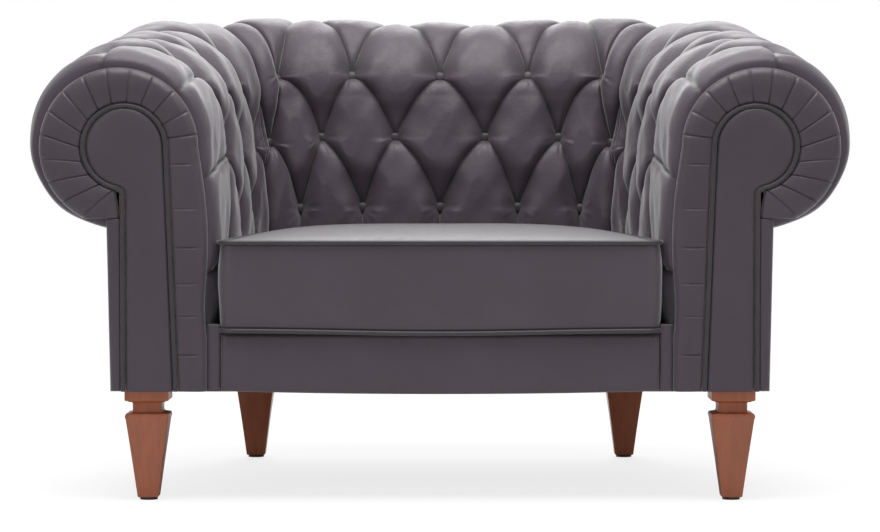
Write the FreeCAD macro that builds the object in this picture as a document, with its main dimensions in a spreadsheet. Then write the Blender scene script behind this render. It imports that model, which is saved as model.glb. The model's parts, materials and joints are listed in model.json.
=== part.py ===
import FreeCAD, Part
import math
import os

import Sketcher
from FreeCAD import Vector

# Deep-buttoned scroll-arm armchair, in millimetres.
# The origin is on the floor under the middle of the chair, +Z up, the front faces -Y.

doc = FreeCAD.newDocument("armchair")
sheet = doc.addObject("Spreadsheet::Sheet", "dims")

# Driving dimensions: alias, value, meaning
SIZES = [
    ("front_depth", 425, "origin to the front of the arm facings"),
    ("seat_half_front", 331, "half the width between the arm pads at the front"),
    ("seat_half_rear", 300, "half the width between the arm pads at the rear"),
    ("corner_back", 60, "origin to the centre of the rear corner curves"),
    ("corner_round", 80, "inside radius of the rear corners"),
    ("roll_radius", 128, "radius of the padded roll on the arms and the back"),
    ("roll_out", 142, "inside pad face to the centre of the roll"),
    ("back_lean", 15, "extra lean of the back at its roll"),
    ("roll_height", 523, "centre of the arm roll at its front end"),
    ("roll_rise", 91, "rise of the roll from the arm front to the back"),
    ("roll_swell", 1.2, "how early the roll rises"),
    ("roll_turn", 0.7, "where along the arm the rise slackens"),
    ("wall_offset", 159, "inside pad face to the outside panel"),
    ("wall_board", 4, "thickness of the outside panels"),
    ("belly", 14, "bulge of the inside pads between seat and roll"),
    ("pad_thickness", 45, "foam of the arms and the back"),
    ("facing_tuck", 2, "how far the facing's back lies before the scroll board's face"),
    ("wall_clear", 0.2, "extra gap between the roll's end and the outside panel"),
    ("pad_tuck", 5, "how far the pads' foot lies below the top of the deck"),
    ("pad_edge", 11, "how far the pads draw in at the arm fronts"),
    ("edge_round", 27, "length over which the pads draw in"),
    ("leather", 1.5, "thickness of the leather"),
    ("soft_gap", 0.7, "leather to the foam under it"),
    ("lining", 3, "thickness of the lining board under the foam"),
    ("tuft_depth", 25, "depth of a button below the pillow tops"),
    ("tuft_pitch", 148, "spacing of the buttons along the arms"),
    ("back_pitch", 145, "spacing of the buttons across the back"),
    ("first_button", 171, "arm front to its first button"),
    ("row_top", 230, "top button row above the roll's inside edge, along the leather"),
    ("row_one_front", 89, "second button row there, at the arm front"),
    ("row_one_rear", 36, "second button row there, at the back"),
    ("row_two", 60, "third button row below the roll's inside edge"),
    ("row_three", 189, "fourth button row there, on the back"),
    ("rough_sketch", 100, "reach of a new sketch before its corners are set"),
    ("row_share", 0.8, "depth of the top row's buttons, as a share of the others'"),
    ("under_share", 0.5, "depth of the pleats under the roll and at the foot, as a share of the others'"),
    ("pillow_share", 0.34, "share of a slope's drop that its middle has made, so pillows swell"),
    ("corner_crease", 0.5, "depth of the creases between corner buttons, as a share of the buttons'"),
    ("pleat_depth", 7, "depth of the straight pleats below the arm buttons"),
    ("button_radius", 12, "covered button"),
    ("button_height", 13, "covered button with the cone behind it"),
    ("button_cone", 9.1, "height of the cone behind the button"),
    ("leg_height", 163, "floor to the underside of the rails"),
    ("leg_block", 65, "width of the leg's top block"),
    ("leg_collar", 54, "width under the block's chamfer"),
    ("leg_neck", 43, "width of the leg's neck"),
    ("leg_shoulder", 62, "width of the shoulder below the neck"),
    ("leg_foot", 31, "width of the leg's foot"),
    ("block_height", 15, "height of the top block"),
    ("neck_height", 15, "height of the neck"),
    ("chamfer_height", 2, "height of the block's chamfer"),
    ("shoulder_height", 6, "height of the slope from neck to shoulder"),
    ("glide_height", 4, "height of the foot glide"),
    ("glide_radius", 13, "radius of the foot glide"),
    ("leg_in", 49, "front leg's centre inside the foot of the outside arm panel"),
    ("leg_back", 47, "arm front to the front leg's centre"),
    ("rear_leg_x", 313, "middle of the chair to a rear leg's centre"),
    ("rear_leg_y", 235, "origin to a rear leg's centre"),
    ("bolt_radius", 4, "leg bolt"),
    ("bolt_length", 70, "leg bolt"),
    ("bolt_set", 6, "leg bolt behind the leg's centre"),
    ("bolt_clearance", 0.2, "leg bolt to the side of its hole"),
    ("rail_height", 69, "height of the base rails"),
    ("rail_thick", 35, "thickness of the base rails"),
    ("block_wide", 70, "thickness of the rear corner blocks"),
    ("corner_ease", 3, "base to the inside of the outside panels"),
    ("head_ease", 6, "scroll board's head inside the rising roll"),
    ("board_thick", 18, "thickness of the scroll boards and corner rails"),
    ("facing_deep", 20, "depth of the arm facings in front of the scroll boards"),
    ("fit_gap", 0.4, "clearance between pieces that lie together"),
    ("post_thick", 25, "thickness of the posts and tack rails"),
    ("tack_height", 40, "height of the tack rails"),
    ("tack_lift", 22, "pad foot to the tack rails"),
    ("top_rail_wide", 44, "width of the arm and back top rails"),
    ("top_rail_high", 40, "height of the arm and back top rails"),
    ("rail_under", 14, "underside of the corner rails below the rear roll's centre"),
    ("deck_rise", 17, "top of the seat deck above the rails"),
    ("deck_thick", 9, "thickness of the seat deck"),
    ("spring_wire", 3.8, "wire diameter of the seat springs"),
    ("spring_wide", 46, "width of a seat spring"),
    ("spring_loop", 21, "radius of a seat spring's bends"),
    ("spring_in", 30, "inside corner of the wall to the middle of the last seat spring"),
    ("clip_wide", 8.5, "width of a spring clip"),
    ("clip_over", 1.4, "metal of a clip over the wire"),
    ("facing_in", 13, "inside pad face to the facing's inner edge"),
    ("facing_foot", 8, "how far the facing's outer edge comes in at its foot"),
    ("panel_head", 61, "radius of the facing panel's head"),
    ("panel_in", 58, "inside pad face to the panel's inner edge at the foot"),
    ("panel_out", 136, "inside pad face to the panel's outer edge"),
    ("panel_head_in", 9, "panel head's centre inside the roll's centre"),
    ("panel_fillet", 12, "curve where the panel's head meets its stem"),
    ("panel_deep", 14, "thickness of the facing panel"),
    ("piping_radius", 3.2, "cord of the facing piping"),
    ("band_edge", 11, "thickness of the facing band at its seams"),
    ("band_crown", 6.5, "crown of the facing band between its pleats"),
    ("band_pleat", 3, "depth of the facing band's pleats"),
    ("band_end", 105, "roll's centre to the lower end of the facing band"),
    ("wall_tuck", 28, "how far the outside panels run up inside the roll"),
    ("block_long", 36, "front corner blocks behind the front rail"),
    ("border_deep", 13, "thickness of the front border"),
    ("border_in", 8, "inside pad face to the end of the front border"),
    ("border_set", 10, "front border behind the facings"),
    ("border_sag", 4, "sag of the front border in the middle"),
    ("cushion_gap", 3, "cushion to the pads round it"),
    ("cushion_set", 7, "cushion front behind the facings"),
    ("cushion_edge", 124, "height of the cushion's sides"),
    ("cushion_lift", 7, "deck to the lower edge of the cushion's sides"),
    ("cushion_crown", 22, "crown of the cushion above its sides"),
    ("cushion_draw", 4, "how far the cushion's sides draw in"),
    ("cushion_corner", 22, "radius of the cushion's front corners"),
    ("cushion_piping", 3.4, "cord of the cushion's piping"),
    ("cord_out", 0.8, "share of its radius by which that piping stands out"),
    ("zip_length", 400, "length of the cushion's zip"),
    ("zip_wide", 8, "width of the zip's tape"),
    ("slider_long", 12, "length of the zip slider"),
    ("slider_high", 6.4, "height of the zip's slider"),
    ("slider_deep", 3, "thickness of the zip slider"),
    ("dust_thick", 1, "thickness of the dust cover"),
]
for line, (alias, value, meaning) in enumerate(SIZES, start=1):
    sheet.set(f"A{line}", meaning)
    sheet.set(f"B{line}", str(value))
    sheet.setAlias(f"B{line}", alias)
doc.recompute()


def size(alias):
    return float(getattr(sheet, alias))


def bound(thing, **places):
    """Binds properties to expressions: __ in a name stands for a dot."""
    for name, expression in places.items():
        thing.setExpression(name.replace("__", "."), expression)
    return thing


def made(kind, label, **places):
    thing = doc.addObject(kind, label)
    thing.Label = label
    return bound(thing, **places)


def shaped(label, shape):
    """A piece whose shape comes from lofts or sweeps worked out here."""
    thing = doc.addObject("Part::Feature", label)
    thing.Label = label
    thing.Shape = shape
    thing.Placement = FreeCAD.Placement()
    return thing


def mirrored(label, source):
    """The left-hand twin of a right-hand piece."""
    twin = doc.addObject("Part::Mirroring", label)
    twin.Label = label
    twin.Source = source
    twin.Normal = Vector(1, 0, 0)
    return twin


def cut(label, base, tool):
    thing = doc.addObject("Part::Cut", label)
    thing.Label = label
    thing.Base = base
    thing.Tool = tool
    return thing


def group(label, members):
    thing = doc.addObject("Part::Compound", label)
    thing.Label = label
    thing.Links = members
    return thing


def outline(body, name, plane, corners, height):
    """A closed sketch with straight sides whose corners are bound to the sheet."""
    sketch = body.newObject("Sketcher::SketchObject", name)
    origin_plane = [f for f in body.Origin.OriginFeatures if f.Role == plane][0]
    sketch.AttachmentSupport = [(origin_plane, "")]
    sketch.MapMode = "FlatFace"
    sketch.setExpression("AttachmentOffset.Base.z", height)
    count = len(corners)
    reach = size("rough_sketch")
    rough = [
        Vector(reach * math.cos(2 * math.pi * k / count), reach * math.sin(2 * math.pi * k / count), 0)
        for k in range(count)
    ]
    for k in range(count):
        sketch.addGeometry(Part.LineSegment(rough[k], rough[(k + 1) % count]), False)
    for k in range(count):
        sketch.addConstraint(Sketcher.Constraint("Coincident", k, 2, (k + 1) % count, 1))
    for k, (across, up) in enumerate(corners):
        for axis, value, expression in (("X", rough[k].x, across), ("Y", rough[k].y, up)):
            place = sketch.addConstraint(Sketcher.Constraint("Distance" + axis, k, 1, value))
            sketch.setExpression(f"Constraints[{place}]", expression)
    return sketch


def board(label, plane, corners, start, thickness):
    """A flat piece: a straight-sided outline on an origin plane, padded from start."""
    body = doc.addObject("PartDesign::Body", label)
    body.Label = label
    sketch = outline(body, label + "_outline", plane, corners, start)
    pad = body.newObject("PartDesign::Pad", label + "_pad")
    pad.Profile = sketch
    pad.setExpression("Length", thickness)
    body.Tip = pad
    return body


# Seat plan: the line of the inside pad faces runs from the arm front to the corner curve.
CORNER_X = "(dims.seat_half_rear - dims.corner_round)"
BACK_Y = "(dims.corner_back + dims.corner_round)"
RAIL_TOP = "(dims.leg_height + dims.rail_height)"
DECK_TOP = "(dims.leg_height + dims.rail_height + dims.deck_rise)"
POST_TOP = "(dims.roll_height + dims.roll_rise - dims.rail_under)"
BOARD_REAR = "(dims.front_depth - dims.facing_deep - dims.board_thick)"
SPLAY = "((dims.seat_half_front - dims.seat_half_rear) / (dims.front_depth + dims.corner_back))"


def pad_x(y):
    """Expression for the inside face of the arm pad at a place along the arm."""
    return f"(dims.seat_half_front - ({y} + dims.front_depth) * {SPLAY})"


front_depth = size("front_depth")
half_front = size("seat_half_front")
half_rear = size("seat_half_rear")
corner_back = size("corner_back")
corner_round = size("corner_round")
corner_x = half_rear - corner_round
arm_length = front_depth + corner_back
path_length = arm_length + corner_round * math.pi / 2
radius = size("roll_radius")
leather = size("leather")
foam_depth = leather + size("soft_gap")
pad_thickness = size("pad_thickness")
fit = size("fit_gap")
lining_depth = pad_thickness + fit
wall = size("wall_offset")
deck_top = size("leg_height") + size("rail_height") + size("deck_rise")
pad_foot = deck_top - size("pad_tuck")
facing_back = size("facing_deep") - size("facing_tuck")


def roll_level(run):
    """Height of the roll's centre at a distance along the pad face from the arm front."""
    t = min(run / path_length, 1)
    swell = size("roll_swell") * t * (1 - t) * (size("roll_turn") - t)
    return size("roll_height") + size("roll_rise") * (t + swell)


class Station:
    """A vertical cutting plane across the padded wall, looking outwards from the seat."""

    def __init__(self, foot, outward, run, deep, lean=0.0, drawn=0.0, partial=1.0):
        self.foot = foot
        self.outward = outward
        self.level = roll_level(run)
        self.centre = size("roll_out") + size("back_lean") * lean
        self.drawn = drawn
        t = min(run / path_length, 1)
        row_one = size("row_one_front") * (1 - t) + size("row_one_rear") * t
        self.rows = {
            "foot": pad_foot - self.level,
            "three": -size("row_three"),
            "two": -size("row_two"),
            "one": row_one,
            "top": size("row_top"),
        }
        rows = ("foot", "three", "two", "one", "top")
        self.depth = {name: deep.get(name, 0.0) * partial for name in rows}
        self.under = deep.get("under", 0.0)

    def bare(self, along, inset):
        """Distance out and height of a point on the pad, a distance along the leather, inset into it."""
        if along <= 0:
            rise = (self.level + along - pad_foot) / (self.level - pad_foot)
            base = size("roll_out") - radius
            face = base + (self.centre - radius - base) * rise
            bulge = size("belly") * math.sin(math.pi * rise) if inset < pad_thickness else 0.0
            return face - bulge + inset, self.level + along, (-1.0, 0.0)
        angle = math.pi - along / radius
        normal = (math.cos(angle), math.sin(angle))
        reach = radius - inset
        return self.centre + reach * normal[0], self.level + reach * normal[1], normal

    def place(self, along, inset):
        out, height, _ = self.bare(along, inset)
        return self.foot + self.outward * out + Vector(0, 0, height)

    def curve(self, inset, end, tufted):
        """Edges of the pad's profile from its foot over the roll to its lower end."""
        names = ["foot", "three", "two", "one", "top"]
        alongs = [self.rows[n] for n in names] + [radius * math.pi, end]
        depths = [self.depth[n] if tufted else 0.0 for n in names] + [self.under if tufted else 0.0, 0.0]
        drawn = self.drawn if tufted else 0.0
        edges = []
        for k in range(len(alongs) - 1):
            low = min(depths[k], depths[k + 1])
            gap = abs(depths[k] - depths[k + 1])
            ends = [self.place(alongs[j], inset + drawn + depths[j]) for j in (k, k + 1)]
            fallen = inset + drawn + low + size("pillow_share") * gap
            middle = self.place((alongs[k] + alongs[k + 1]) / 2, fallen)
            chord = ends[1] - ends[0]
            bow = (middle - ends[0]).cross(chord).Length / chord.Length
            if bow < 0.05:
                edges.append(Part.LineSegment(ends[0], ends[1]).toShape())
            else:
                edges.append(Part.Arc(ends[0], middle, ends[1]).toShape())
        return edges

    def end(self, inner_radius, clear):
        """How far along the leather the roll runs before it meets the outside panel."""
        reach = (wall + clear - self.centre) / (inner_radius - self.drawn)
        return radius * (math.pi + math.acos(reach))

    def ring(self, outer, inner, outer_tufted, inner_tufted):
        """Closed section of a layer between two depths below the pad's surface."""
        end = self.end(radius - inner, fit + size("wall_clear"))
        out = self.curve(outer, end, outer_tufted)
        back = self.curve(inner, end, inner_tufted)
        first = out[0].Vertexes[0].Point
        last = out[-1].Vertexes[-1].Point
        inner_first = back[0].Vertexes[0].Point
        inner_last = back[-1].Vertexes[-1].Point
        closing = [Part.LineSegment(last, inner_last).toShape()]
        closing += list(reversed(back))
        closing += [Part.LineSegment(inner_first, first).toShape()]
        return Part.Wire(out + closing)


tuft = size("tuft_depth")
pleat = size("pleat_depth")
pitch = size("tuft_pitch")
DEEP_ARM_HIGH = {"one": tuft}
row_top = tuft * size("row_share")
under = pleat * size("under_share")
DEEP_ARM_LOW = {"two": tuft, "top": row_top, "three": pleat, "foot": under, "under": under}
DEEP_BACK_HIGH = {"one": tuft, "three": tuft}
DEEP_BACK_LOW = {"two": tuft, "top": row_top, "foot": under, "under": under}
crease = tuft * size("corner_crease")
BLEND = {name: crease for name in ("three", "two", "one", "top")}


def arm_station(y, deep, drawn=0.0):
    foot = Vector(half_front - (y + front_depth) * (half_front - half_rear) / arm_length, y, 0)
    return Station(foot, Vector(1, 0, 0), y + front_depth, deep, 0.0, drawn)


def corner_station(angle, deep, shift=0.0):
    turn = math.radians(angle)
    outward = Vector(math.cos(turn), math.sin(turn), 0)
    along = Vector(-math.sin(turn), math.cos(turn), 0)
    foot = Vector(corner_x, corner_back, 0) + outward * corner_round + along * shift
    return Station(foot, outward, arm_length + corner_round * turn, deep, angle / 90)


def back_station(x, deep):
    return Station(Vector(x, corner_back + corner_round, 0), Vector(0, 1, 0), path_length, deep, 1.0)


arm_front = facing_back - front_depth
first = size("first_button") - front_depth
arm_stations = [
    arm_station(arm_front, {}, size("pad_edge")),
    arm_station(arm_front + size("edge_round"), {}),
    arm_station(first - pitch / 2, {"three": pleat, "two": pleat, "one": pleat / 2, "top": pleat}),
]
for k in range(5):
    arm_stations.append(arm_station(first + k * pitch / 2, DEEP_ARM_LOW if k % 2 else DEEP_ARM_HIGH))
arm_stations += [
    corner_station(10, BLEND),
    corner_station(27, BLEND | DEEP_ARM_LOW),
    corner_station(45, BLEND, -fit / 2),
]
back_pitch = size("back_pitch")
half_back = [
    corner_station(45, BLEND, fit / 2),
    corner_station(60, BLEND | DEEP_BACK_HIGH),
    corner_station(77, BLEND),
    corner_station(90, DEEP_BACK_LOW),
    back_station(back_pitch, DEEP_BACK_HIGH),
    back_station(back_pitch / 2, DEEP_BACK_LOW),
]


def layer(stations, outer, inner, outer_tufted, inner_tufted):
    wires = [s.ring(outer, inner, outer_tufted, inner_tufted) for s in stations]
    return Part.makeLoft(wires, True, True)


def flipped(station):
    """The same station on the left of the chair."""
    twin = Station.__new__(Station)
    twin.__dict__.update(station.__dict__)
    twin.foot = Vector(-station.foot.x, station.foot.y, 0)
    twin.outward = Vector(-station.outward.x, station.outward.y, 0)
    return twin


back_stations = half_back + [back_station(0, DEEP_BACK_HIGH)] + [flipped(s) for s in reversed(half_back)]

LAYERS = {
    "cover": (0.0, leather, True, True),
    "foam": (foam_depth, pad_thickness, True, False),
    "board": (lining_depth, lining_depth + size("lining"), False, False),
}
nodes = []


def keep(thing):
    nodes.append(thing)
    return thing


def pair(thing):
    """Keeps a right-hand piece and its left-hand twin."""
    keep(thing)
    keep(mirrored(thing.Label.replace("_right", "_left"), thing))
    return thing


def twins(label, thing):
    """Keeps two small like pieces, right and left, in one node."""
    return keep(group(label, [thing, mirrored(thing.Label + "_twin", thing)]))


for name, depths in LAYERS.items():
    pair(shaped(f"arm_{name}_right", layer(arm_stations, *depths)))
    keep(shaped(f"back_{name}", layer(back_stations, *depths)))


# Covered buttons: a dome on a cone that sits in the bottom of each dimple.
def button(station, row):
    out, height, normal = station.bare(station.rows[row], station.depth[row] - fit)
    seat = station.foot + station.outward * out + Vector(0, 0, height)
    axis = station.outward * normal[0] + Vector(0, 0, normal[1])
    wide = size("button_radius")
    tall = size("button_height")
    cone = size("button_cone")
    dome = (wide**2 + (tall - cone) ** 2) / (2 * (tall - cone))
    half_turn = math.asin(wide / dome) / 2
    crest = Vector(dome * math.sin(half_turn), 0, tall - dome * (1 - math.cos(half_turn)))
    profile = Part.Wire([
        Part.LineSegment(Vector(0, 0, 0), Vector(wide, 0, cone)).toShape(),
        Part.Arc(Vector(wide, 0, cone), crest, Vector(0, 0, tall)).toShape(),
        Part.LineSegment(Vector(0, 0, tall), Vector(0, 0, 0)).toShape(),
    ])
    solid = Part.Face(profile).revolve(Vector(0, 0, 0), Vector(0, 0, 1), 360)
    solid.Placement = FreeCAD.Placement(seat, FreeCAD.Rotation(Vector(0, 0, 1), axis))
    return solid


def buttons(stations):
    found = []
    for station in stations:
        for row in ("three", "two", "one", "top"):
            if station.depth[row] > tuft / 2:
                found.append(button(station, row))
    return Part.makeCompound(found)


pair(shaped("arm_buttons_right", buttons(arm_stations[:-1])))
keep(shaped("back_buttons", buttons(back_stations)))


# Outside panels: thin boards covered with leather, hung from inside the roll down to the rails.
def wall_ring(station):
    low = size("leg_height")
    high = station.level - radius + size("wall_tuck")
    inner = wall - size("wall_board")
    tilt = size("facing_foot")
    spots = [(wall - tilt, low), (wall, high), (inner, high), (inner - tilt, low)]
    points = [station.foot + station.outward * out + Vector(0, 0, height) for out, height in spots]
    return Part.makePolygon(points + points[:1])


def wall_panel(stations):
    return Part.makeLoft([wall_ring(s) for s in stations], True, True)


pair(shaped("outside_arm_right", wall_panel(arm_stations)))
keep(shaped("outside_back", wall_panel(back_stations)))

# Hardwood base
OUTER = "(dims.wall_offset - dims.facing_foot - dims.wall_board - dims.corner_ease)"
BOARD_IN = (
    "(dims.seat_half_front + dims.roll_out - dims.roll_radius + dims.pad_thickness"
    " + dims.lining + 3 * dims.fit_gap)"
)
BORDER_BACK = "(dims.front_depth - dims.border_set - dims.border_deep)"
LINING_BACK = "(dims.roll_out - dims.roll_radius + dims.pad_thickness + dims.lining + 2 * dims.fit_gap)"


def seat_rect(x_low, x_high, y_low, y_high):
    return [(x_low, y_low), (x_high, y_low), (x_high, y_high), (x_low, y_high)]


keep(board(
    "front_rail",
    "XY_Plane",
    seat_rect(
        f"-{BOARD_IN}", BOARD_IN, f"-({BORDER_BACK} - dims.fit_gap)",
        f"-({BORDER_BACK} - dims.fit_gap - dims.rail_thick)",
    ),
    "dims.leg_height",
    "dims.rail_height",
))
keep(board(
    "back_rail",
    "XY_Plane",
    seat_rect(
        f"-{CORNER_X}", CORNER_X, f"{BACK_Y} + {OUTER} - dims.rail_thick", f"{BACK_Y} + {OUTER}",
    ),
    "dims.leg_height",
    "dims.rail_height",
))
rail_front = f"-{BOARD_REAR}"
pair(board(
    "side_rail_right",
    "XY_Plane",
    [
        (f"{pad_x(rail_front)} + {OUTER} - dims.rail_thick", rail_front),
        (f"{pad_x(rail_front)} + {OUTER}", rail_front),
        (f"dims.seat_half_rear + {OUTER}", "dims.corner_back"),
        (f"dims.seat_half_rear + {OUTER} - dims.rail_thick", "dims.corner_back"),
    ],
    "dims.leg_height",
    "dims.rail_height",
))

LEG_X = "(dims.seat_half_front + dims.wall_offset - dims.facing_foot - dims.leg_in)"
LEG_Y = "(-dims.front_depth + dims.leg_back)"
BOLT_LOW = "(dims.leg_height - dims.bolt_length / 2)"


def bolt_hole(label, x, y):
    return made(
        "Part::Cylinder", label, Radius="dims.bolt_radius + dims.bolt_clearance", Height="dims.bolt_length",
        Placement__Base__x=x, Placement__Base__y=y, Placement__Base__z=BOLT_LOW,
    )


def bolt(label, x, y):
    return made(
        "Part::Cylinder", label, Radius="dims.bolt_radius", Height="dims.bolt_length - 2 * dims.fit_gap",
        Placement__Base__x=x, Placement__Base__y=y, Placement__Base__z=BOLT_LOW + " + dims.fit_gap",
    )


front_bolt = (f"({LEG_X} - dims.bolt_set)", f"({LEG_Y} + dims.bolt_set)")
rear_bolt = ("dims.rear_leg_x", "(dims.rear_leg_y + dims.bolt_set)")

block_front = f"-({BORDER_BACK} - dims.fit_gap - dims.rail_thick)"
block_back = f"({block_front} + dims.block_long)"
front_block = board(
    "front_block_whole",
    "XY_Plane",
    [
        (f"{BOARD_IN} - dims.rail_thick", block_front),
        (BOARD_IN, block_front),
        (BOARD_IN, rail_front),
        (f"{pad_x(rail_front)} + {OUTER} - dims.rail_thick", rail_front),
        (f"{pad_x(block_back)} + {OUTER} - dims.rail_thick", block_back),
        (f"{BOARD_IN} - dims.rail_thick", block_back),
    ],
    "dims.leg_height",
    "dims.rail_height",
)
twins("front_blocks", cut("front_block", front_block, bolt_hole("front_block_hole", *front_bolt)))

SECTOR = {"Placement__Base__x": CORNER_X, "Placement__Base__y": "dims.corner_back"}


def sector(label, inner, outer, low, thickness):
    """A quarter ring about the rear corner curve's centre."""
    where = {"Height": thickness, "Placement__Base__z": low, **SECTOR}
    whole = made("Part::Cylinder", label + "_outer", Radius=outer, **where)
    hollow = made("Part::Cylinder", label + "_inner", Radius=inner, **where)
    whole.Angle = 90
    return cut(label, whole, hollow)


rear_block = sector(
    "rear_block_whole", f"dims.corner_round + {OUTER} - dims.block_wide", f"dims.corner_round + {OUTER}",
    "dims.leg_height", "dims.rail_height",
)
twins("rear_blocks", cut("rear_block", rear_block, bolt_hole("rear_block_hole", *rear_bolt)))

# Scroll boards, posts and upper rails
HEAD_X = f"({pad_x(rail_front)} + dims.roll_out)"
HEAD_Z = "(dims.roll_height + dims.head_ease)"
HEAD_R = "(dims.roll_radius - dims.pad_thickness - dims.lining - 3 * dims.fit_gap - dims.head_ease)"
stem = board(
    "scroll_stem",
    "XZ_Plane",
    [
        (BOARD_IN, "dims.leg_height"),
        (f"{pad_x(rail_front)} + {OUTER}", "dims.leg_height"),
        (f"{pad_x(rail_front)} + {OUTER}", HEAD_Z),
        (BOARD_IN, HEAD_Z),
    ],
    BOARD_REAR,
    "dims.board_thick",
)
head = made(
    "Part::Cylinder", "scroll_head", Radius=HEAD_R, Height="dims.board_thick",
    Placement__Base__x=HEAD_X, Placement__Base__y=rail_front, Placement__Base__z=HEAD_Z,
)
head.Placement.Rotation = FreeCAD.Rotation(Vector(1, 0, 0), 90)
scroll = doc.addObject("Part::Fuse", "scroll_board_right")
scroll.Label = "scroll_board_right"
scroll.Base = stem
scroll.Tool = head
pair(scroll)

pair(made(
    "Part::Box", "arm_post_right",
    Length=f"{OUTER} - {LINING_BACK} - dims.corner_ease", Width="dims.post_thick",
    Height=f"{POST_TOP} - {RAIL_TOP}",
    Placement__Base__x=f"dims.seat_half_rear + {LINING_BACK} + dims.corner_ease",
    Placement__Base__y="dims.corner_back", Placement__Base__z=RAIL_TOP,
))
twins("back_posts", board(
    "back_post",
    "YZ_Plane",
    [
        (f"{BACK_Y} + {LINING_BACK} + dims.corner_ease", RAIL_TOP),
        (f"{BACK_Y} + {OUTER}", RAIL_TOP),
        (f"{BACK_Y} + {OUTER}", POST_TOP),
        (f"{BACK_Y} + {LINING_BACK} + dims.back_lean + dims.corner_ease", POST_TOP),
    ],
    CORNER_X,
    "dims.post_thick",
))


def top_rail_end(body, name, y, low):
    """End of an arm top rail: a rectangle inside the roll, square to the chair's depth."""
    outer = f"{pad_x(y)} + {OUTER}"
    corners = [
        (f"{outer} - dims.top_rail_wide", low),
        (outer, low),
        (outer, f"{low} + dims.top_rail_high"),
        (f"{outer} - dims.top_rail_wide", f"{low} + dims.top_rail_high"),
    ]
    return outline(body, name, "XZ_Plane", corners, f"-({y})")


arm_top = doc.addObject("PartDesign::Body", "arm_top_rail_right")
arm_top.Label = "arm_top_rail_right"
top_front = top_rail_end(arm_top, "arm_top_front", rail_front, f"{HEAD_Z} - dims.top_rail_high / 2")
top_rear = top_rail_end(arm_top, "arm_top_rear", "dims.corner_back", f"{POST_TOP} - dims.top_rail_high")
arm_top_loft = arm_top.newObject("PartDesign::AdditiveLoft", "arm_top_loft")
arm_top_loft.Profile = top_front
arm_top_loft.Sections = [top_rear]
arm_top_loft.Ruled = True
arm_top.Tip = arm_top_loft
pair(arm_top)
keep(board(
    "back_top_rail",
    "XY_Plane",
    seat_rect(
        f"-{CORNER_X}", CORNER_X, f"{BACK_Y} + {OUTER} - dims.top_rail_wide", f"{BACK_Y} + {OUTER}",
    ),
    f"{POST_TOP} - dims.top_rail_high",
    "dims.top_rail_high",
))
twins("corner_rails", sector(
    "corner_rail", f"dims.corner_round + {OUTER} - dims.top_rail_wide", f"dims.corner_round + {OUTER}",
    POST_TOP, "dims.board_thick",
))
tack_low = f"({DECK_TOP} + dims.tack_lift)"
twins("arm_tack_rails", board(
    "arm_tack_rail",
    "XY_Plane",
    [
        (f"{pad_x(rail_front)} + {LINING_BACK}", rail_front),
        (f"{pad_x(rail_front)} + {LINING_BACK} + dims.post_thick", rail_front),
        (f"dims.seat_half_rear + {LINING_BACK} + dims.post_thick", "dims.corner_back"),
        (f"dims.seat_half_rear + {LINING_BACK}", "dims.corner_back"),
    ],
    tack_low,
    "dims.tack_height",
))
tack_rise = f"(dims.back_lean * (dims.tack_lift + dims.tack_height) / (dims.roll_height - {DECK_TOP}))"
keep(board(
    "back_tack_rail",
    "XY_Plane",
    seat_rect(
        f"-{CORNER_X}", CORNER_X, f"{BACK_Y} + {LINING_BACK} + {tack_rise}",
        f"{BACK_Y} + {LINING_BACK} + {tack_rise} + dims.post_thick",
    ),
    tack_low,
    "dims.tack_height",
))

# Legs: a square block, a chamfer, a short neck, a shoulder and a long taper down to the foot.
leg_levels = [
    ("leg_foot", "dims.glide_height"),
    (
        "leg_shoulder",
        "dims.leg_height - dims.block_height - dims.chamfer_height"
        " - dims.neck_height - dims.shoulder_height",
    ),
    ("leg_neck", "dims.leg_height - dims.block_height - dims.chamfer_height - dims.neck_height"),
    ("leg_neck", "dims.leg_height - dims.block_height - dims.chamfer_height - dims.chamfer_height / 2"),
    ("leg_collar", "dims.leg_height - dims.block_height - dims.chamfer_height"),
    ("leg_block", "dims.leg_height - dims.block_height"),
    ("leg_block", "dims.leg_height"),
]


def leg(label, x, y, drilled):
    body = doc.addObject("PartDesign::Body", label + "_turning")
    rings = []
    for k, (width, height) in enumerate(leg_levels):
        half = f"dims.{width} / 2"
        corners = [(f"-{half}", f"-{half}"), (half, f"-{half}"), (half, half), (f"-{half}", half)]
        rings.append(outline(body, f"{label}_ring_{k}", "XY_Plane", corners, height))
    loft = body.newObject("PartDesign::AdditiveLoft", label + "_loft")
    loft.Profile = rings[0]
    loft.Sections = rings[1:]
    loft.Ruled = True
    body.Tip = loft
    bound(body, Placement__Base__x=x, Placement__Base__y=y)
    return cut(label, body, drilled)


pair(leg("front_leg_right", LEG_X, LEG_Y, bolt_hole("front_leg_hole", *front_bolt)))
pair(leg("rear_leg_right", "dims.rear_leg_x", "dims.rear_leg_y", bolt_hole("rear_leg_hole", *rear_bolt)))

leg_places = [(LEG_X, LEG_Y, front_bolt), ("dims.rear_leg_x", "dims.rear_leg_y", rear_bolt)]
bolts = []
glides = []
for k, (x, y, spot) in enumerate(leg_places):
    for side, sign in (("right", ""), ("left", "-")):
        bolts.append(bolt(f"bolt_{k}_{side}", sign + spot[0], spot[1]))
        glides.append(made(
            "Part::Cylinder", f"glide_{k}_{side}", Radius="dims.glide_radius", Height="dims.glide_height",
            Placement__Base__x=sign + x, Placement__Base__y=y,
        ))
keep(group("leg_bolts", bolts))
keep(group("foot_glides", glides))


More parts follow.
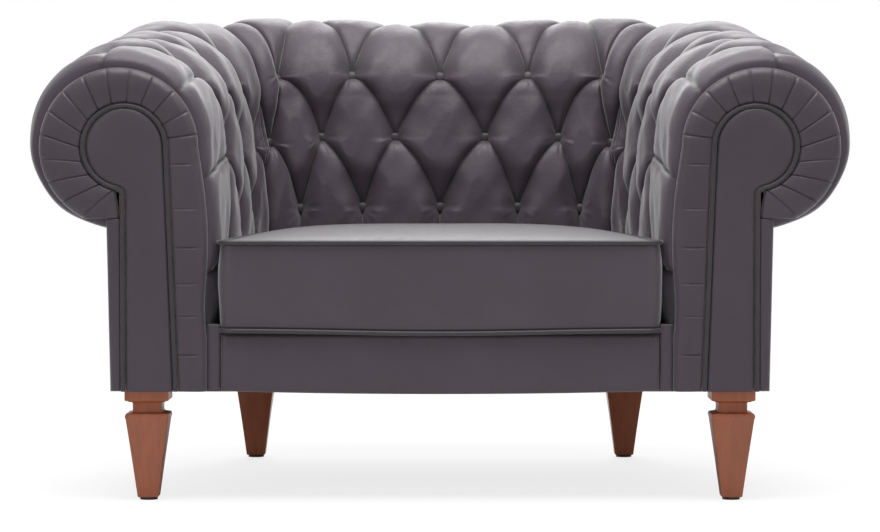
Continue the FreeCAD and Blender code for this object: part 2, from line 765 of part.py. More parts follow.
# Arm facings: a plain panel on the scroll board, a corded edge round it, and a pleated band round both.
facing_y = size("facing_deep") - front_depth
head_centre = Vector(half_front + size("roll_out") - size("panel_head_in"), 0, size("roll_height"))
head_radius = size("panel_head")
stem_in = half_front + size("panel_in")
stem_out = half_front + size("panel_out")
stem_foot = size("leg_height")
fillet = size("panel_fillet")
cord = size("piping_radius")
seam = cord + fit
fillet_x = stem_out + fillet
fillet_z = head_centre.z - math.sqrt((head_radius + fillet) ** 2 - (fillet_x - head_centre.x) ** 2)
neck_angle = math.atan2(fillet_z - head_centre.z, fillet_x - head_centre.x)


def inner_tangent(grow):
    """Angle at which the panel's inner edge leaves the head, seen from the head's centre."""
    across = stem_in - grow - head_centre.x
    down = stem_foot - head_centre.z
    straight = math.atan2(down, across) + 2 * math.pi
    return straight - math.acos((head_radius + grow) / math.hypot(across, down))


def head_point(angle, grow):
    reach = head_radius + grow
    return head_centre + Vector(reach * math.cos(angle), 0, reach * math.sin(angle))


def panel_edges(grow, y):
    """The panel's outline, grown outwards: up the inner edge, over the head, through the neck and down."""
    lift = Vector(0, y, 0)
    start = inner_tangent(grow)
    first_point = Vector(stem_in - grow, 0, stem_foot) + lift
    spots = [head_point(start * (1 - s) + neck_angle * s, grow) + lift for s in (0, 0.25, 0.5, 0.75, 1)]
    neck = Vector(stem_out + grow, 0, fillet_z) + lift
    turn = (math.pi + neck_angle + math.pi) / 2
    towards = Vector(math.cos(turn), 0, math.sin(turn))
    middle = Vector(fillet_x, 0, fillet_z) + towards * (fillet - grow) + lift
    last_point = Vector(stem_out + grow, 0, stem_foot) + lift
    return [
        Part.LineSegment(first_point, spots[0]).toShape(),
        Part.Arc(spots[0], spots[1], spots[2]).toShape(),
        Part.Arc(spots[2], spots[3], spots[4]).toShape(),
        Part.Arc(spots[4], middle, neck).toShape(),
        Part.LineSegment(neck, last_point).toShape(),
    ]


def panel_face(grow, y):
    edges = panel_edges(grow, y)
    closing = Part.LineSegment(edges[-1].Vertexes[-1].Point, edges[0].Vertexes[0].Point).toShape()
    return Part.Face(Part.Wire(edges + [closing]))


panel = panel_face(-seam, facing_y - fit).extrude(Vector(0, -size("panel_deep"), 0))
pair(shaped("facing_panel_right", panel))

cord_y = facing_y - fit - size("panel_deep") + cord
cord_path = Part.Wire(panel_edges(0, cord_y))
cord_ring = Part.Wire(Part.makeCircle(cord, cord_path.Edges[0].Vertexes[0].Point, Vector(0, 0, 1)))
pair(shaped("facing_piping_right", cord_path.makePipeShell([cord_ring], True, False)))

# The band: sections from the corded edge out to the roll's edge, low at each pleat and crowned between.
band_face = arm_station(-front_depth, {}, size("pad_edge"))
STEM_PLEATS = 7
HEAD_PLEATS = 13
band_stop = math.asin(-size("band_end") / (radius - size("pad_edge")))


def band_outer(height):
    """Outer edge of the band's stem: the pad's face above the seat, straight below it."""
    if height <= pad_foot:
        return Vector(half_front + size("facing_in"), 0, height)
    out, level, _ = band_face.bare(height - band_face.level, size("pad_edge"))
    blend = min(1, (height - pad_foot) / (2 * size("tack_lift") + size("tack_height")))
    return Vector(half_front + out * blend + size("facing_in") * (1 - blend), 0, level)


def band_inner(height):
    tangent = head_point(inner_tangent(seam), seam)
    share = (height - stem_foot) / (tangent.z - stem_foot)
    return Vector((stem_in - seam) * (1 - share) + tangent.x * share, 0, height)


def roll_edge(angle):
    reach = radius - size("pad_edge")
    centre = Vector(half_front + size("roll_out"), 0, size("roll_height"))
    return centre + Vector(math.cos(angle), 0, math.sin(angle)) * reach


band_pairs = []
stem_steps = 2 * STEM_PLEATS
for k in range(stem_steps):
    height = stem_foot + (size("roll_height") - stem_foot) * k / stem_steps
    band_pairs.append((band_inner(height), band_outer(height)))
head_steps = 2 * HEAD_PLEATS
for k in range(head_steps - 1):
    angle = math.pi * (1 - k / head_steps) + band_stop * k / head_steps
    share = k / (head_steps - 2)
    inner_angle = inner_tangent(seam) * (1 - share) + neck_angle * share
    band_pairs.append((head_point(inner_angle, seam), roll_edge(angle)))
near_stop = band_stop + (math.pi - band_stop) / head_steps / 2
band_pairs.append((Vector(stem_out + seam, 0, fillet_z), roll_edge(near_stop)))
band_pairs.append((Vector(stem_out + seam, 0, roll_edge(band_stop).z), roll_edge(band_stop)))


def band_ring(inner, outer, low):
    """Closed section of the band: flat at the back, bulging forwards."""
    back_y = -front_depth + facing_back - fit
    edge_y = back_y - size("band_edge")
    crown = 0.3 if low else size("band_crown")
    corners = ((inner, edge_y), (outer, edge_y), (outer, back_y), (inner, back_y))
    at = [Vector(p.x, y, p.z) for p, y in corners]
    middle = (at[0] + at[1]) / 2 + Vector(0, -crown, 0)
    return Part.Wire([
        Part.Arc(at[0], middle, at[1]).toShape(),
        Part.LineSegment(at[1], at[2]).toShape(),
        Part.LineSegment(at[2], at[3]).toShape(),
        Part.LineSegment(at[3], at[0]).toShape(),
    ])


band_rings = [band_ring(inner, outer, k % 2 == 0) for k, (inner, outer) in enumerate(band_pairs)]
pair(shaped("facing_band_right", Part.makeLoft(band_rings, True, True)))

# The return strip beside the panel, and the flap of inside leather between facing and border
strip_top = roll_edge(band_stop) + Vector(0, 0, -2 * fit)
strip_low = size("leg_height")
strip_corners = [
    Vector(stem_out + seam, 0, strip_low),
    Vector(half_front + wall - size("facing_foot"), 0, strip_low),
    Vector(half_front + wall, 0, strip_top.z),
    Vector(stem_out + seam, 0, strip_top.z),
]
strip_corners = [p + Vector(0, -front_depth + facing_back - fit, 0) for p in strip_corners]
strip_face = Part.Face(Part.makePolygon(strip_corners + strip_corners[:1]))
strip = strip_face.extrude(Vector(0, -size("band_edge"), 0))
twins("front_strips", shaped("front_strip", strip))
twins("arm_flaps", made(
    "Part::Box", "arm_flap",
    Length="dims.facing_in + dims.border_in - 2 * dims.fit_gap",
    Width="dims.border_deep - 2 * dims.fit_gap", Height=f"{RAIL_TOP} - dims.leg_height",
    Placement__Base__x="dims.seat_half_front - dims.border_in + dims.fit_gap",
    Placement__Base__y=f"-{BORDER_BACK} - dims.border_deep + 2 * dims.fit_gap",
    Placement__Base__z="dims.leg_height",
))

# Front border: a padded leather strip over the front rail, sagging a little in the middle
def border_ring(x, inset, sag):
    low = size("leg_height") - sag + inset
    high = deck_top - inset
    back = size("border_set") + size("border_deep") - front_depth
    front = size("border_set") - front_depth + inset
    curve = min(4.0, size("border_deep") / 3)
    bulge = Vector(x, front, (low + high) / 2)
    return Part.Wire([
        Part.LineSegment(Vector(x, back, low), Vector(x, front + curve, low)).toShape(),
        Part.Arc(Vector(x, front + curve, low), bulge, Vector(x, front + curve, high)).toShape(),
        Part.LineSegment(Vector(x, front + curve, high), Vector(x, back, high)).toShape(),
        Part.LineSegment(Vector(x, back, high), Vector(x, back, low)).toShape(),
    ])


def border(half, inset):
    stops = [-half, -half / 2, 0, half / 2, half]
    rings = [border_ring(x, inset, size("border_sag") * (1 - (x / half) ** 2)) for x in stops]
    return Part.makeLoft(rings, True, True)


half_border = half_front - size("border_in")
border_foam = border(half_border - leather - fit, leather + fit)
border_cover = border(half_border, 0).cut(border(half_border - leather, leather))
keep(shaped("border_foam", border_foam))
keep(shaped("border_cover", border_cover))

# Seat deck on flat zigzag springs that run from the front rail to the back rail
DECK_LOW = f"({DECK_TOP} - dims.deck_thick)"
deck_side = f"({pad_x('-(' + BORDER_BACK + ' - dims.fit_gap)')} - dims.fit_gap)"
deck_rear = "(dims.seat_half_rear - dims.fit_gap)"
deck_narrow = f"({CORNER_X} + dims.corner_round * 0.5)"
DECK = [
    (f"-{deck_side}", f"-({BORDER_BACK} - dims.fit_gap)"),
    (deck_side, f"-({BORDER_BACK} - dims.fit_gap)"),
    (deck_rear, "dims.corner_back"),
    (deck_narrow, f"{BACK_Y} - dims.corner_round * 0.3"),
    (CORNER_X, f"{BACK_Y} - dims.fit_gap"),
    (f"-{CORNER_X}", f"{BACK_Y} - dims.fit_gap"),
    (f"-{deck_narrow}", f"{BACK_Y} - dims.corner_round * 0.3"),
    (f"-{deck_rear}", "dims.corner_back"),
]
keep(board("seat_deck", "XY_Plane", DECK, DECK_LOW, "dims.deck_thick"))

wire = size("spring_wire") / 2
rail_top = size("leg_height") + size("rail_height")
spring_front = size("border_set") + size("border_deep") + fit - front_depth + size("rail_thick") / 2
spring_rear = corner_back + corner_round + wall - size("facing_foot")
spring_rear -= size("wall_board") + size("rail_thick") / 2
spring_level = deck_top - size("deck_thick") - fit - size("clip_over") - wire


def spring(x):
    """A zigzag wire: straight runs across joined by half turns."""
    loop = size("spring_loop")
    half = size("spring_wide") / 2 - loop + wire
    turns = int((spring_rear - spring_front) / (2 * loop))
    step = (spring_rear - spring_front) / turns
    edges = []
    for k in range(turns):
        side = 1 if k % 2 == 0 else -1
        near = Vector(x + side * half, spring_front + k * step, spring_level)
        far = near + Vector(0, step, 0)
        middle = (near + far) / 2 + Vector(side * step / 2, 0, 0)
        edges.append(Part.LineSegment(Vector(x - side * half, near.y, near.z), near).toShape())
        edges.append(Part.Arc(near, middle, far).toShape())
    last_side = 1 if turns % 2 == 0 else -1
    end = Vector(x - last_side * half, spring_rear, spring_level)
    edges.append(Part.LineSegment(end, end + Vector(2 * last_side * half, 0, 0)).toShape())
    path = Part.Wire(edges)
    ring = Part.Wire(Part.makeCircle(wire, edges[0].Vertexes[0].Point, Vector(1, 0, 0)))
    return path.makePipeShell([ring], True, False)


SPRING_COUNT = 6
spring_spread = corner_x - size("spring_in")
spring_places = [spring_spread * (2 * k / (SPRING_COUNT - 1) - 1) for k in range(SPRING_COUNT)]
springs = [spring(x) for x in spring_places]
keep(shaped("seat_springs", Part.makeCompound(springs)))


def clip(x, y):
    """A saddle that holds the wire's end run down to the rail."""
    wide = size("clip_wide")
    deep = 4 * wire
    high = spring_level + wire + size("clip_over") - rail_top
    body = Part.makeBox(wide, deep, high, Vector(x - wide / 2, y - deep / 2, rail_top))
    bore = Part.makeCylinder(wire + fit / 2, wide, Vector(x - wide / 2, y, spring_level), Vector(1, 0, 0))
    return body.cut(bore)


clips = [clip(x, y) for x in spring_places for y in (spring_front, spring_rear)]
keep(shaped("spring_clips", Part.makeCompound(clips)))

# Dust cover under the rails, drawn in round the legs
leg_side = f"({LEG_X} - dims.leg_block / 2 - dims.bolt_radius)"
leg_rear = f"({LEG_Y} + dims.leg_block / 2 + dims.bolt_radius)"
rail_middle = f"({OUTER} - dims.rail_thick / 2)"
rear_side = "(dims.rear_leg_x - dims.leg_block / 2 - dims.bolt_radius)"
rear_front = "(dims.rear_leg_y - dims.leg_block / 2 - dims.bolt_radius)"
DUST_RIGHT = [
    (leg_side, f"-({BORDER_BACK} - dims.fit_gap)"),
    (leg_side, leg_rear),
    (f"{pad_x(leg_rear)} + {rail_middle}", leg_rear),
    (f"dims.seat_half_rear + {rail_middle}", "dims.corner_back"),
    (f"dims.rear_leg_x + dims.leg_block / 2", rear_front),
    (rear_side, rear_front),
    (rear_side, f"{BACK_Y} + {rail_middle}"),
]
DUST = DUST_RIGHT + [(f"-({x})", y) for x, y in reversed(DUST_RIGHT)]
keep(board("dust_cover", "XY_Plane", DUST, "dims.leg_height - dims.dust_thick", "dims.dust_thick"))

# Loose seat cushion: rounded outlines stacked from the deck to the crown
cushion_low = deck_top + size("cushion_lift")
cushion_high = cushion_low + size("cushion_edge")
side_gap = size("cushion_gap") + size("cushion_piping") * 1.8
cushion_front = size("cushion_set") - front_depth
cushion_rear = corner_back + corner_round - side_gap


def cushion_half(y):
    return half_front - (y + front_depth) * (half_front - half_rear) / arm_length - side_gap


def rounded(corners, radii, height):
    """A closed wire through straight sides with a round at each corner."""
    edges = []
    count = len(corners)
    ends = []
    for k in range(count):
        here = corners[k]
        before = (here - corners[k - 1]).normalize()
        after = (corners[(k + 1) % count] - here).normalize()
        turn = math.acos(max(-1, min(1, before.dot(after))))
        reach = radii[k] * math.tan(turn / 2)
        towards = (after - before).normalize()
        middle = here + towards * (radii[k] / math.cos(turn / 2) - radii[k])
        ends.append((here - before * reach, middle, here + after * reach))
    lift = Vector(0, 0, height)
    for k in range(count):
        start, middle, stop = [p + lift for p in ends[k]]
        following = ends[(k + 1) % count][0] + lift
        edges.append(Part.Arc(start, middle, stop).toShape())
        edges.append(Part.LineSegment(stop, following).toShape())
    return Part.Wire(edges)


def cushion_ring(inset, height):
    front = cushion_front + inset
    rear = cushion_rear - inset
    corners = [
        Vector(-cushion_half(front) + inset, front, 0),
        Vector(cushion_half(front) - inset, front, 0),
        Vector(cushion_half(rear) - inset, rear, 0),
        Vector(-cushion_half(rear) + inset, rear, 0),
    ]
    tight = max(size("cushion_corner") - inset / 2, size("cushion_corner") / 3)
    wide = max(corner_round - side_gap - inset, size("cushion_corner"))
    return rounded(corners, [tight, tight, wide, wide], height)


def cushion_shape(skin):
    """The cushion's body, a skin's thickness smaller all round."""
    crown = size("cushion_crown")
    draw = size("cushion_draw")
    rise = cushion_high - cushion_low
    levels = [
        (60, deck_top + fit + skin),
        (0, cushion_low + skin / 2),
        (draw * 0.75, cushion_low + rise * 0.25),
        (draw, cushion_low + rise * 0.5),
        (draw * 0.75, cushion_low + rise * 0.75),
        (0, cushion_high - skin / 2),
        (16, cushion_high + crown * 0.32 - skin),
        (60, cushion_high + crown * 0.72 - skin),
        (125, cushion_high + crown - skin),
    ]
    return Part.makeLoft([cushion_ring(inset + skin, height) for inset, height in levels], True, True)


def cushion_cord(height):
    """Piping that stands out from the cushion's edge."""
    grow = -size("cord_out") * size("cushion_piping")
    path = cushion_ring(grow, height)
    edge = path.Edges[1]
    start = edge.Vertexes[0].Point
    ring = Part.Wire(Part.makeCircle(size("cushion_piping"), start, edge.Vertexes[-1].Point - start))
    return Part.Wire(path.Edges[1:] + path.Edges[:1]).makePipeShell([ring], True, False)


casing = cushion_shape(0).cut(cushion_shape(leather))
zip_level = (cushion_low + cushion_high) / 2
zip_long = size("zip_length")
zip_back = cushion_rear - size("cushion_draw")
slot_wide = size("zip_wide") + 2 * fit
slot = Part.makeBox(
    zip_long + 2 * fit, 6 * leather, slot_wide,
    Vector(-zip_long / 2 - fit, zip_back - 3 * leather, zip_level - slot_wide / 2),
)
keep(shaped("seat_cover", casing.cut(slot)))
keep(shaped("seat_foam", cushion_shape(leather + fit)))
cord_shift = size("cord_out") * size("cushion_piping")
keep(shaped("seat_piping_top", cushion_cord(cushion_high + cord_shift)))
keep(shaped("seat_piping_bottom", cushion_cord(cushion_low - cord_shift)))
TAPE_BACK = (
    "(dims.corner_back + dims.corner_round - dims.cushion_gap"
    " - (1 + dims.cord_out) * dims.cushion_piping - dims.cushion_draw)"
)
ZIP_LEVEL = f"({DECK_TOP} + dims.cushion_lift + dims.cushion_edge / 2)"
keep(made(
    "Part::Box", "zip_tape", Length="dims.zip_length", Width="dims.leather", Height="dims.zip_wide",
    Placement__Base__x="-dims.zip_length / 2", Placement__Base__y=f"{TAPE_BACK} - dims.leather",
    Placement__Base__z=f"{ZIP_LEVEL} - dims.zip_wide / 2",
))
keep(made(
    "Part::Box", "zip_slider",
    Length="dims.slider_long", Width="dims.slider_deep", Height="dims.slider_high",
    Placement__Base__x="-dims.zip_length / 2 + dims.fit_gap",
    Placement__Base__y=f"{TAPE_BACK} + dims.fit_gap",
    Placement__Base__z=f"{ZIP_LEVEL} - dims.slider_high / 2",
))

doc.recompute()
for thing in doc.Objects:
    if "Invalid" in thing.State or "Error" in thing.State:
        raise RuntimeError(f"{thing.Label} failed: {thing.State}")
for node in nodes:
    if node.Shape.isNull() or not node.Shape.isValid():
        raise RuntimeError(f"{node.Label} has no valid shape")
os.makedirs("parts", exist_ok=True)
for node in nodes:
    node.Shape.exportStep(f"parts/{node.Label}.step")
print(len(nodes), "pieces")
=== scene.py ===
import json
import math

import bpy
import numpy as np
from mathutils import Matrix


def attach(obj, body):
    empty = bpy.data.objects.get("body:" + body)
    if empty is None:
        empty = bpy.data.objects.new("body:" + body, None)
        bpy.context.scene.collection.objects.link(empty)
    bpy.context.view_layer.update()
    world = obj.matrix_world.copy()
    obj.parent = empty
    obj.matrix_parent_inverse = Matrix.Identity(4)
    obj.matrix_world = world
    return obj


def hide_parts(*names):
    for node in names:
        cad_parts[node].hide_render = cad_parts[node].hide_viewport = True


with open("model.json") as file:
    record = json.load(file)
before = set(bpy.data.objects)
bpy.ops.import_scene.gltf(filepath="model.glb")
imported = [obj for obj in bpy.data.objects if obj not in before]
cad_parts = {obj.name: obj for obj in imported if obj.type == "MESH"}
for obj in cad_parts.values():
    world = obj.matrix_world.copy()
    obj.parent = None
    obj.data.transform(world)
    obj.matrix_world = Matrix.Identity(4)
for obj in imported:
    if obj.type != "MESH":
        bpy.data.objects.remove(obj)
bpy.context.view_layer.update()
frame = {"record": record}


# Camera, studio and lights: the chair stands on a pale floor before a white backdrop and is
# seen straight from the front, a little above seat height, under one broad light overhead.
camera = bpy.data.objects.new("camera", bpy.data.cameras.new("camera"))
camera.data.lens = 115.8
camera.data.sensor_width = 36
camera.location = (0, -4.575, 0.497)
camera.rotation_euler = (math.radians(90 - 2.05), 0, 0)
bpy.context.scene.collection.objects.link(camera)
bpy.context.scene.camera = camera
bpy.context.scene.view_settings.view_transform = "Standard"

world = bpy.data.worlds.new("studio")
bpy.context.scene.world = world
world.use_nodes = True
nodes, links = world.node_tree.nodes, world.node_tree.links
air = nodes["Background"]
air.inputs["Color"].default_value = (1, 1, 1, 1)
ray = nodes.new("ShaderNodeLightPath")
seen = nodes.new("ShaderNodeMath")
seen.operation = "MAXIMUM"
links.new(ray.outputs["Is Camera Ray"], seen.inputs[0])
links.new(ray.outputs["Is Transmission Ray"], seen.inputs[1])
level = nodes.new("ShaderNodeMix")
dim = nodes.new("ShaderNodeMix")
dim.inputs[2].default_value = 0.30
dim.inputs[3].default_value = 0.62
links.new(ray.outputs["Is Glossy Ray"], dim.inputs["Factor"])
links.new(seen.outputs[0], level.inputs["Factor"])
links.new(dim.outputs[0], level.inputs[2])
level.inputs[3].default_value = 1.0
links.new(level.outputs[0], air.inputs["Strength"])

floor_mesh = bpy.data.meshes.new("floor")
floor_mesh.from_pydata([(-9, -9, 0), (9, -9, 0), (9, 9, 0), (-9, 9, 0)], [], [(0, 1, 2, 3)])
floor = bpy.data.objects.new("floor", floor_mesh)
bpy.context.scene.collection.objects.link(floor)
paper = bpy.data.materials.new("floor_paper")
paper.use_nodes = True
nodes, links = paper.node_tree.nodes, paper.node_tree.links
matt = nodes["Principled BSDF"]
tint = nodes.new("ShaderNodeMix")
tint.data_type = "RGBA"
tint.inputs["A"].default_value = (0.86, 0.86, 0.86, 1)
matt.inputs["Roughness"].default_value = 0.9
matt.inputs["Specular IOR Level"].default_value = 0.1
matt.inputs["Emission Color"].default_value = (1, 1, 1, 1)
ray = nodes.new("ShaderNodeLightPath")
place = nodes.new("ShaderNodeTexCoord")
reach = nodes.new("ShaderNodeVectorMath")
reach.operation = "LENGTH"
links.new(place.outputs["Object"], reach.inputs[0])
fade = nodes.new("ShaderNodeMapRange")
fade.interpolation_type = "SMOOTHSTEP"
fade.inputs["From Min"].default_value = 0.6
fade.inputs["From Max"].default_value = 1.7
links.new(reach.outputs["Value"], fade.inputs["Value"])
near = nodes.new("ShaderNodeMix")
near.data_type = "RGBA"
near.inputs["A"].default_value = (0.26, 0.26, 0.265, 1)
near.inputs["B"].default_value = (0, 0, 0, 1)
links.new(fade.outputs["Result"], near.inputs["Factor"])
glow = nodes.new("ShaderNodeMapRange")
glow.inputs["To Min"].default_value = 0.79
glow.inputs["To Max"].default_value = 1.0
links.new(fade.outputs["Result"], glow.inputs["Value"])
lift = nodes.new("ShaderNodeMath")
lift.operation = "MULTIPLY"
links.new(glow.outputs["Result"], lift.inputs[1])
links.new(ray.outputs["Is Camera Ray"], lift.inputs[0])
links.new(ray.outputs["Is Camera Ray"], tint.inputs["Factor"])
links.new(near.outputs["Result"], tint.inputs["B"])
links.new(tint.outputs["Result"], matt.inputs["Base Color"])
links.new(lift.outputs[0], matt.inputs["Emission Strength"])
floor_mesh.materials.append(paper)


def lamp(name, place, target, size, power):
    """A square soft box at a place, turned to a target."""
    data = bpy.data.lights.new(name, "AREA")
    data.shape = "SQUARE"
    data.size = size
    data.energy = power
    thing = bpy.data.objects.new(name, data)
    away = np.array(place, float) - np.array(target, float)
    flat = math.hypot(away[0], away[1])
    thing.location = place
    thing.rotation_euler = (math.atan2(flat, away[2]), 0, math.atan2(away[0], -away[1]))
    bpy.context.scene.collection.objects.link(thing)
    return thing


lamp("overhead", (0.0, -0.6, 2.7), (0, 0.0, 0.5), 2.2, 72)
lamp("behind", (0.0, 2.7, 2.4), (0, 0, 0.6), 2.4, 60)
lamp("front_left", (-2.4, -2.8, 1.6), (0, 0, 0.4), 1.6, 7)
lamp("front_right", (2.4, -2.8, 1.6), (0, 0, 0.4), 1.6, 5)


# Tufted arm pads: leather drawn over thick foam on the scrolled wall, tied down by buttons in
# four staggered rows. Pleats run from button to button, forward to the facing and over the roll.
FRONT = -0.425
ARM_RUN = 0.485
CORNER = (0.220, 0.060)
CORNER_ROUND = 0.080
PATH = ARM_RUN + CORNER_ROUND * math.pi / 2
GAUGE = 0.100
SEAM_TURN = math.pi / 4
ROLL = 0.128
ROLL_OUT = 0.142
LEAN = 0.015
PAD_FOOT = 0.2442
BELLY = 0.014
WALL = 0.1594
TUFT = 0.030
BOW = 0.15
CELL = 34


def roll_level(run):
    """Height of the roll's centre: rises 91 mm from front to back, swelling in the first half."""
    t = np.minimum(run / PATH, 1.0)
    return 0.523 + 0.091 * (t + 1.2 * t * (1 - t) * (0.7 - t))


def arm_plan(u):
    """Foot of the arm's wall at a distance u from the front: a straight run that closes in
    towards the back, then a quarter bend measured at 100 mm radius."""
    turn = np.maximum(u - ARM_RUN, 0.0) / GAUGE
    straight = np.minimum(u, ARM_RUN)
    bent = u > ARM_RUN
    x = np.where(bent, CORNER[0] + CORNER_ROUND * np.cos(turn), 0.331 - straight * 0.031 / ARM_RUN)
    y = np.where(bent, CORNER[1] + CORNER_ROUND * np.sin(turn), FRONT + straight)
    run = straight + CORNER_ROUND * turn
    return x, y, np.cos(turn), np.sin(turn), run, turn * 2 / math.pi


def back_plan(u):
    """Foot of the back's wall at a distance u from the middle, with half of each bend."""
    side = np.sign(u)
    turn = math.pi / 2 - np.maximum(np.abs(u) - CORNER[0], 0.0) / GAUGE
    bent = np.abs(u) > CORNER[0]
    x = np.where(bent, side * (CORNER[0] + CORNER_ROUND * np.cos(turn)), u)
    y = np.where(bent, CORNER[1] + CORNER_ROUND * np.sin(turn), CORNER[1] + CORNER_ROUND)
    run = ARM_RUN + CORNER_ROUND * turn
    return x, y, side * np.cos(turn), np.sin(turn), run, turn * 2 / math.pi


def wall_point(plan, v, inset):
    """Point on the padded wall: below the roll the face rises and swells towards the seat,
    above it v is wound round the roll; inset sinks it square to the leather."""
    x, y, out_x, out_y, run, lean = plan
    centre_z = roll_level(run)
    centre = ROLL_OUT + LEAN * lean
    rise = np.clip((centre_z + v - PAD_FOOT) / (centre_z - PAD_FOOT), 0, 1)
    base = ROLL_OUT - ROLL
    face = base + (centre - ROLL - base) * rise - BELLY * np.sin(math.pi * rise)
    angle = math.pi - np.maximum(v, 0.0) / ROLL
    below = v <= 0
    n = np.where(below, face + inset, centre + (ROLL - inset) * np.cos(angle))
    z = np.where(below, centre_z + v, centre_z + (ROLL - inset) * np.sin(angle))
    return np.stack([x + out_x * n, y + out_y * n, z], axis=-1)


def share(value, low, high):
    """Smooth step from 0 at low to 1 at high."""
    t = np.clip((value - low) / (high - low), 0, 1)
    return t * t * (3 - 2 * t)


def fold(phase):
    """1 on whole numbers, 0 halfway between them."""
    return np.abs(2 * (phase - np.floor(phase)) - 1)


def tufting(c, j, first=None):
    """Depth of the tufting as a share of a button's: buttons stand where c + j is even, on rows
    j = 0 to 3. Each diamond is a pillow, (1 - A^p)(1 - B^p) high, steeper along its lower edges,
    with a pit (A B)^3 at each button. Beyond the rows the pleats run straight."""
    mid = 0.34
    a_phase = (c + j) / 2
    b_phase = (c - j) / 2
    a = fold(a_phase)
    b = fold(b_phase)
    a_low = a_phase - np.floor(a_phase) < 0.5
    b_low = b_phase - np.floor(b_phase) > 0.5
    a_edge = a ** np.where(a_low, 6.0, 2.8)
    b_edge = b ** np.where(b_low, 6.0, 2.8)
    slit = 0.09 * (np.exp(-(1 - a) / 0.035) + np.exp(-(1 - b) / 0.035))
    funnel = 2.4 - 1.1 * np.sin(2 * math.pi * j)
    diamond = mid * (1 - (1 - a_edge) * (1 - b_edge)) + slit * (1 - (a * b) ** 2)
    diamond = diamond + (0.95 - mid) * (a * b) ** funnel

    def beyond(past, row, keep):
        across = fold((c + row) / 2)
        edge = across ** 2.8 if row else across ** 6.0
        start = mid * (1 - (1 - edge) * (1 - edge))
        pit = (0.95 - mid) * across ** 4.8 * np.clip(1 - past, 0, 1) ** 4.8
        slit = 0.09 * np.exp(-(1 - across) / 0.035) * (2 - across ** 4) * (1 - 0.4 * share(past, 0, 0.5))
        q = share(past, 0, 0.8)
        return start * (1 - q) + pit + q * keep * across ** 5 + slit

    top = beyond(j - 3, 3, 0.24)
    foot = beyond(-j, 0, 0.16)
    depth = np.where(j > 3, top, np.where(j < 0, foot, diamond))
    # line: a mask along the pleat lines and in the pits just above the buttons, used as painted shade in the pad
    # leather.
    line = np.maximum(np.exp(-(1 - a) / 0.05), np.exp(-(1 - b) / 0.05))
    above = j - np.floor(j)
    line = np.maximum(line, (a * b) ** 5)
    line = np.maximum(line, (a * b) ** 1.2 * share(above, 0.0, 0.05) * np.exp(-above / 0.28))
    across = fold((c + 3) / 2)
    upper = np.exp(-(1 - across) / 0.05) * (1 - 0.5 * share(j - 3, 0, 0.8))
    upper = np.maximum(upper, across ** 4 * np.exp(-np.maximum(j - 3, 0) / 0.35))
    lower = np.exp(-(1 - fold(c / 2)) / 0.05)
    line = np.where(j > 3, upper, np.where(j < 0, lower, line))
    if first is None:
        return depth, line
    edge_c = np.where(j > 3, -1.0, np.where(j < 0, 0.0, 1 - np.abs(j - 1)))
    t = np.maximum(edge_c - c, 0.0)
    near = np.clip(1 - t, 0, 1)
    along = fold((edge_c + j) / 2) * fold((edge_c - j) / 2)
    rows = np.where(j > 3, np.clip(1 - 2 * (j - 3), 0, 1), np.where(j < 0, np.clip(1 + 2 * j, 0, 1), fold(j)))
    channel = (0.22 * rows ** 5 + 0.12 * np.exp(-(1 - rows) / 0.04)) * share(t, 0, 0.7)
    inside = (j >= 0) & (j <= 3)
    before = mid * (1 - (1 - near ** 2.8) ** 2) + (0.95 - mid) * (along * near ** 2) ** 2.4 + channel
    before = before + 0.09 * np.exp(-t / 0.035) * (1 - along ** 2)
    # In front of the first column the painted-shade mask follows the channels out to the facing.
    ahead = np.maximum(np.exp(-t / 0.05), np.exp(-(1 - rows) / 0.06) * 0.9)
    line = np.where(c < edge_c, np.where(inside, ahead, np.maximum(line, ahead * (rows > 0))), line)
    return np.where(inside & (c < edge_c), before, depth + np.where(inside, 0, channel * (c < edge_c))), line


def creeping(u, v, buttons):
    """Fine creases that run out from each button and die away within a few centimetres."""
    total = np.zeros_like(u)
    for k, (bu, bv) in enumerate(buttons):
        du, dv = u - bu, v - bv
        r = np.hypot(du, dv)
        turn = np.arctan2(dv, du)
        wave = np.cos(9 * turn + 2.3 * k) + 0.6 * np.cos(14 * turn - 1.7 * k)
        total += wave * np.exp(-((r - 0.014) / 0.013) ** 2)
    return 0.0005 * total


def slack(u, v):
    """Slow waves of leather that is not quite taut."""
    return 0.0012 * (
        np.sin(61 * u + 23 * v + 1.3) * np.sin(47 * v - 19 * u) + 0.6 * np.sin(97 * u - 71 * v + 0.4)
    )


def table(c, j, rows):
    """Value at column c and row j between the rows' own knots."""
    stack = np.stack([np.interp(c, cs, vs) for cs, vs in rows])
    low = np.clip(np.floor(j).astype(int), 0, 2)
    part = np.clip(j - low, 0, 1)
    below = np.take_along_axis(stack, low[None], 0)[0]
    above = np.take_along_axis(stack, low[None] + 1, 0)[0]
    return below * (1 - part) + above * part


def wound(j, u, rows, run, lean):
    """Distance v along the leather from the roll's inner edge for each row and column."""
    heights = np.stack([np.interp(u, us, vs) for us, vs in rows])
    low = np.clip(np.floor(j).astype(int), 0, 2)
    part = np.clip(j - low, 0, 1)
    v = np.take_along_axis(heights, low[None], 0)[0] * (1 - part)
    v += np.take_along_axis(heights, low[None] + 1, 0)[0] * part
    foot = PAD_FOOT - roll_level(run)
    end = ROLL * (math.pi + np.arccos((WALL - ROLL_OUT - LEAN * lean) / ROLL))
    v = np.where(j < 0, heights[0] + (foot - heights[0]) * (-j / 1.5), v)
    return np.where(j > 3, heights[3] + (end - heights[3]) * (j - 3) / 2.25, v)


